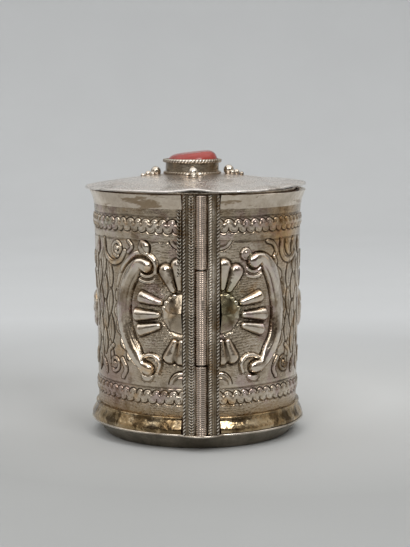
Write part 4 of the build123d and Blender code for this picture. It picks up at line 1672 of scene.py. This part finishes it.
@dataclass(frozen=True)
class Setting:
    """Coral in its bezel, with the wires and granules round it."""

    ring_radius: float = 0.55
    ring_pitch: float = 1.0
    foot_radius: float = 0.45
    foot_pitch: float = 0.9
    foot_height: float = 0.4
    stone_radius: float = 8.0
    stone_girdle: float = 2.0
    stone_height: float = 4.75
    stone_tilt: float = 0.9
    stone_fall: float = 0.35
    stone_power: int = 6
    stone_round: float = 0.42
    mouth_waves: int = 46
    mouth_depth: float = 0.09
    ball_seat: float = 0.72
    cone_run: float = 23.7
    # Distance from the bezel's axis, turn in degrees and radius of each granule of a group
    large: tuple[Triple, ...] = ((11.3, 0.0, 1.6),)
    small: tuple[Triple, ...] = ((13.7, 0.0, 1.0), (15.3, 0.0, 0.7), (12.4, 8.6, 0.8), (12.4, -8.6, 0.8))
    groups: int = 4

    def rope(self, name: str, distance: float, height: float, radius: float, pitch: float) -> Piece:
        """Twisted wire bent to a ring: a two-lobed section that turns as it goes round.

        Args:
            name: Piece name.
            distance: Radius of the ring.
            height: Height of the ring.
            radius: Radius of the wire.
            pitch: Length from lobe to lobe.

        Returns:
            The piece.
        """
        turns = round(2 * pi * distance / pitch)
        angle = np.linspace(0, 2 * pi, turns * 12, endpoint=False)[:, None]
        phi = np.linspace(0, 2 * pi, 16, endpoint=False)[None, :]
        lobe = np.abs(np.cos(phi - 0.5 * turns * angle))
        size = radius * (0.66 + 0.38 * np.sqrt(lobe))
        points = turned(distance + size * np.cos(phi), height + size * np.sin(phi), angle)
        points[..., 0] += DRUM.bezel_x
        return solid(name, [points], closed=True, layers={"hollow": 0.6 - lobe}, crease=75.0)

    def cup(self) -> Piece:
        """Bezel wall: a section carried round, waved at its mouth where it is pressed over the stone.

        Returns:
            The piece.
        """
        heights = np.array([[0, 1.5, 3.0, 4.3, 4.7, 4.4, 2.0, 0]])
        radius = DRUM.bezel_radius + np.array([[0, 0.05, 0.02, 0, -0.35, -0.5, -0.5, -0.5]])
        angle = np.linspace(0, 2 * pi, 160, endpoint=False)[:, None]
        wave = 0.05 * lumps(angle * 6, heights * 0.4, 3.0)
        mouth = self.mouth_depth * np.sin(self.mouth_waves * angle) * (heights > 4.2)
        points = turned(radius + wave, DRUM.lid_crown + heights + mouth, angle)
        points[..., 0] += DRUM.bezel_x
        return solid("bezel_wall", [points], closed=True, crease=60.0)

    def stone(self) -> Piece:
        """Cabochon, higher at the right.

        Over its girdle it rises by (height + tilt x / R - fall (y / R)^2) (1 - (r / R)^6)^0.42.

        Returns:
            The piece.
        """
        share = np.concatenate([[0.04], np.linspace(0.1, 0.9, 14), [0.94, 0.97, 0.99, 1.0]])[::-1][:, None]
        angle = np.linspace(0, 2 * pi, 96, endpoint=False)[None, :]
        points = turned(self.stone_radius * share, np.zeros((1, 1)), angle)
        x, y = points[..., 0] / self.stone_radius, points[..., 1] / self.stone_radius
        body = self.stone_height + self.stone_tilt * x - self.stone_fall * y**2
        dome = np.clip(1 - share**self.stone_power, 0, 1) ** self.stone_round
        points[..., 2] = DRUM.lid_crown + self.stone_girdle + body * dome
        base = points[:1].copy()
        base[..., 2] = DRUM.lid_crown
        points = np.vstack([base, points])
        points[..., 0] += DRUM.bezel_x
        return solid("coral_stone", [points], crease=75.0)

    def balls(self, name: str, places: Sequence[Triple]) -> Piece:
        """Granules: balls of slightly uneven shape, seated on the lid's cone in groups round the bezel.

        Args:
            name: Piece name.
            places: Distance, turn and radius of each ball of a group.

        Returns:
            The piece.
        """
        parts = []
        up = np.linspace(-pi / 2 + 0.06, pi / 2 - 0.06, 14)[:, None]
        angle = np.linspace(0, 2 * pi, 22, endpoint=False)[None, :]
        for index in range(self.groups):
            for distance, turn, radius in places:
                way = radians(360 / self.groups * index + turn)
                x = DRUM.bezel_x + distance * cos(way)
                y = distance * sin(way)
                fall = max(0.0, np.hypot(x, y) - DRUM.crown_radius) * DRUM.cone_rise / self.cone_run
                ball = turned(np.cos(up), np.sin(up), angle) * radius
                ball = ball * (1 + 0.05 * lumps(angle, up, index + distance)[..., None])
                parts.append(ball + np.array([x, y, DRUM.lid_crown - fall + self.ball_seat * radius]))
        return solid(name, parts)

    def build(self) -> list[Piece]:
        """Makes and dresses the setting's pieces.

        Returns:
            The pieces.
        """
        cup = self.cup()
        ring = DRUM.bezel_radius + 0.4
        height = DRUM.lid_crown + DRUM.bezel_height
        milled = self.rope("milled_ring", ring, height, self.ring_radius, self.ring_pitch)
        low = DRUM.lid_crown + self.foot_height
        foot = self.rope("foot_wire", ring - 0.1, low, self.foot_radius, self.foot_pitch)
        bright, grimy = PAINT.metal(FINISHES.bright), PAINT.metal(FINISHES.bezel)
        return [
            dress(cup, "lid", "silver", grimy, "bezel_cup"),
            dress(milled, "lid", "silver", PAINT.metal(FINISHES.wire), "bezel_milled_ring"),
            dress(foot, "lid", "silver", grimy, "bezel_foot_wire"),
            dress(self.stone(), "lid", "coral", PAINT.coral(), "coral_cabochon"),
            dress(self.balls("large_balls", self.large), "lid", "silver", bright, "large_granules"),
            dress(self.balls("small_balls", self.small), "lid", "silver", bright, "small_granules"),
        ]


@dataclass(frozen=True)
class Light:
    """Rectangular soft light. Places and sizes are metres."""

    name: str
    place: Place
    size: Pair
    power: float
    aim: Place = (0.0, 0.0, 0.05)

    def hang(self) -> None:
        """Hangs the light in the studio, facing its aim."""
        lamp = bpy.data.lights.new(self.name, "AREA")
        lamp.shape = "RECTANGLE"
        lamp.size, lamp.size_y = self.size
        lamp.energy = self.power
        holder = bpy.data.objects.new(self.name, lamp)
        bpy.context.scene.collection.objects.link(holder)
        dx, dy, dz = (a - p for a, p in zip(self.aim, self.place))
        holder.location = self.place
        holder.rotation_euler = (atan2(np.hypot(dx, dy), -dz), 0.0, atan2(dy, dx) - pi / 2)


@dataclass(frozen=True)
class Studio:
    """Paper sweep, soft lights and the camera of the photograph."""

    camera_place: Place = (-14.6, -465.0, 105.3)
    pitch: float = 6.9
    yaw: float = 2.086
    lens: float = 98.7
    sensor: float = 36.0
    view_end: float = 20.0
    bend_radius: float = 400.0
    bend_start: float = 600.0
    paper_sheet: float = 8.0
    half_paper: float = 9000.0
    warm_low: str = "F6E4CF"
    lights: tuple[Light, ...] = (
        Light("overhead", (-0.1, 0.2, 1.1), (3.0, 2.4), 14.3, (0.0, 0.1, 0.0)),
        Light("front_panel", (-0.25, -0.75, 1.0), (0.4, 0.3), 0.8),
        Light("left_fill", (-0.46, -1.2, 0.8), (0.6, 0.6), 4.6),
        Light("right_fill", (0.48, -0.8, 0.98), (0.44, 0.44), 5.6),
    )

    def paper(self) -> None:
        """Sweep: a level floor, a quarter round and an upright back, as one sheet carried along X."""
        turn = np.linspace(-pi / 2, 0, 16)
        bend = self.bend_radius * np.column_stack([np.cos(turn), np.sin(turn)])
        bend = bend + np.array([self.bend_start, self.bend_radius])
        back = self.bend_start + self.bend_radius
        path = np.vstack([[(-1600, 0), (-400, 0), (200, 0)], bend, [(back, 2000)]])
        section = np.vstack([path, path[::-1] + np.array([self.paper_sheet, -self.paper_sheet])])
        across = (-self.half_paper, 0.0, self.half_paper)
        loops = np.stack([np.column_stack([np.full(len(section), x), section]) for x in across])
        sheet = solid("paper_sweep", [loops])
        sheet.data.materials.append(PAINT.backdrop())

    def room(self) -> None:
        """World light by direction: pale overhead and at the sides, dimmer from the camera's side."""
        world = bpy.data.worlds.new("studio_room")
        bpy.context.scene.world = world
        world.use_nodes = True
        graph = Graph(world.node_tree)
        graph.tree.nodes.clear()
        way = graph.add("TexCoord", out="Generated")
        y, z = (graph.add("SeparateXYZ", {0: way}, axis) for axis in "YZ")
        front = graph.add("MapRange", {0: y, 1: -0.62, 2: -0.02, 3: 0.1, 4: 0.62})
        overhead = graph.add("MapRange", {0: z, 1: 0.5, 2: 0.95, 3: 0.0, 4: 0.3})
        level = graph.add("Math", {0: front, 1: overhead}, operation="ADD")
        tint = graph.add("ValToRGB", {0: z}, stops=((0.05, self.warm_low), (0.5, "FFFFFF")))
        graph.add("OutputWorld", {"Surface": graph.add("Background", {"Color": tint, "Strength": level})})

    def camera(self) -> None:
        """Camera at the photograph's place and angle, with no depth of field."""
        data = bpy.data.cameras.new("photo_camera")
        data.lens = self.lens
        data.sensor_width = self.sensor
        data.clip_end = self.view_end
        holder = bpy.data.objects.new("photo_camera", data)
        bpy.context.scene.collection.objects.link(holder)
        holder.location = [c * MM for c in self.camera_place]
        holder.rotation_euler = (radians(90 - self.pitch), 0.0, radians(-self.yaw))
        bpy.context.scene.camera = holder

    def build(self) -> None:
        """Sets the stage."""
        self.paper()
        self.room()
        for light in self.lights:
            light.hang()
        self.camera()
        bpy.context.scene.view_settings.view_transform = "Standard"


def main() -> None:
    logging.basicConfig(level=logging.INFO)
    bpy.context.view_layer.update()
    walls = [Wall(side) for side in Side]
    for assembly in (*walls, *stile_wires(), Hinge(), Foot(), Lid(), Setting()):
        for piece in assembly.build():
            LOG.info("%s: %d faces", piece.name, len(piece.data.polygons))
    Studio().build()


if __name__ == "__main__":
    main()
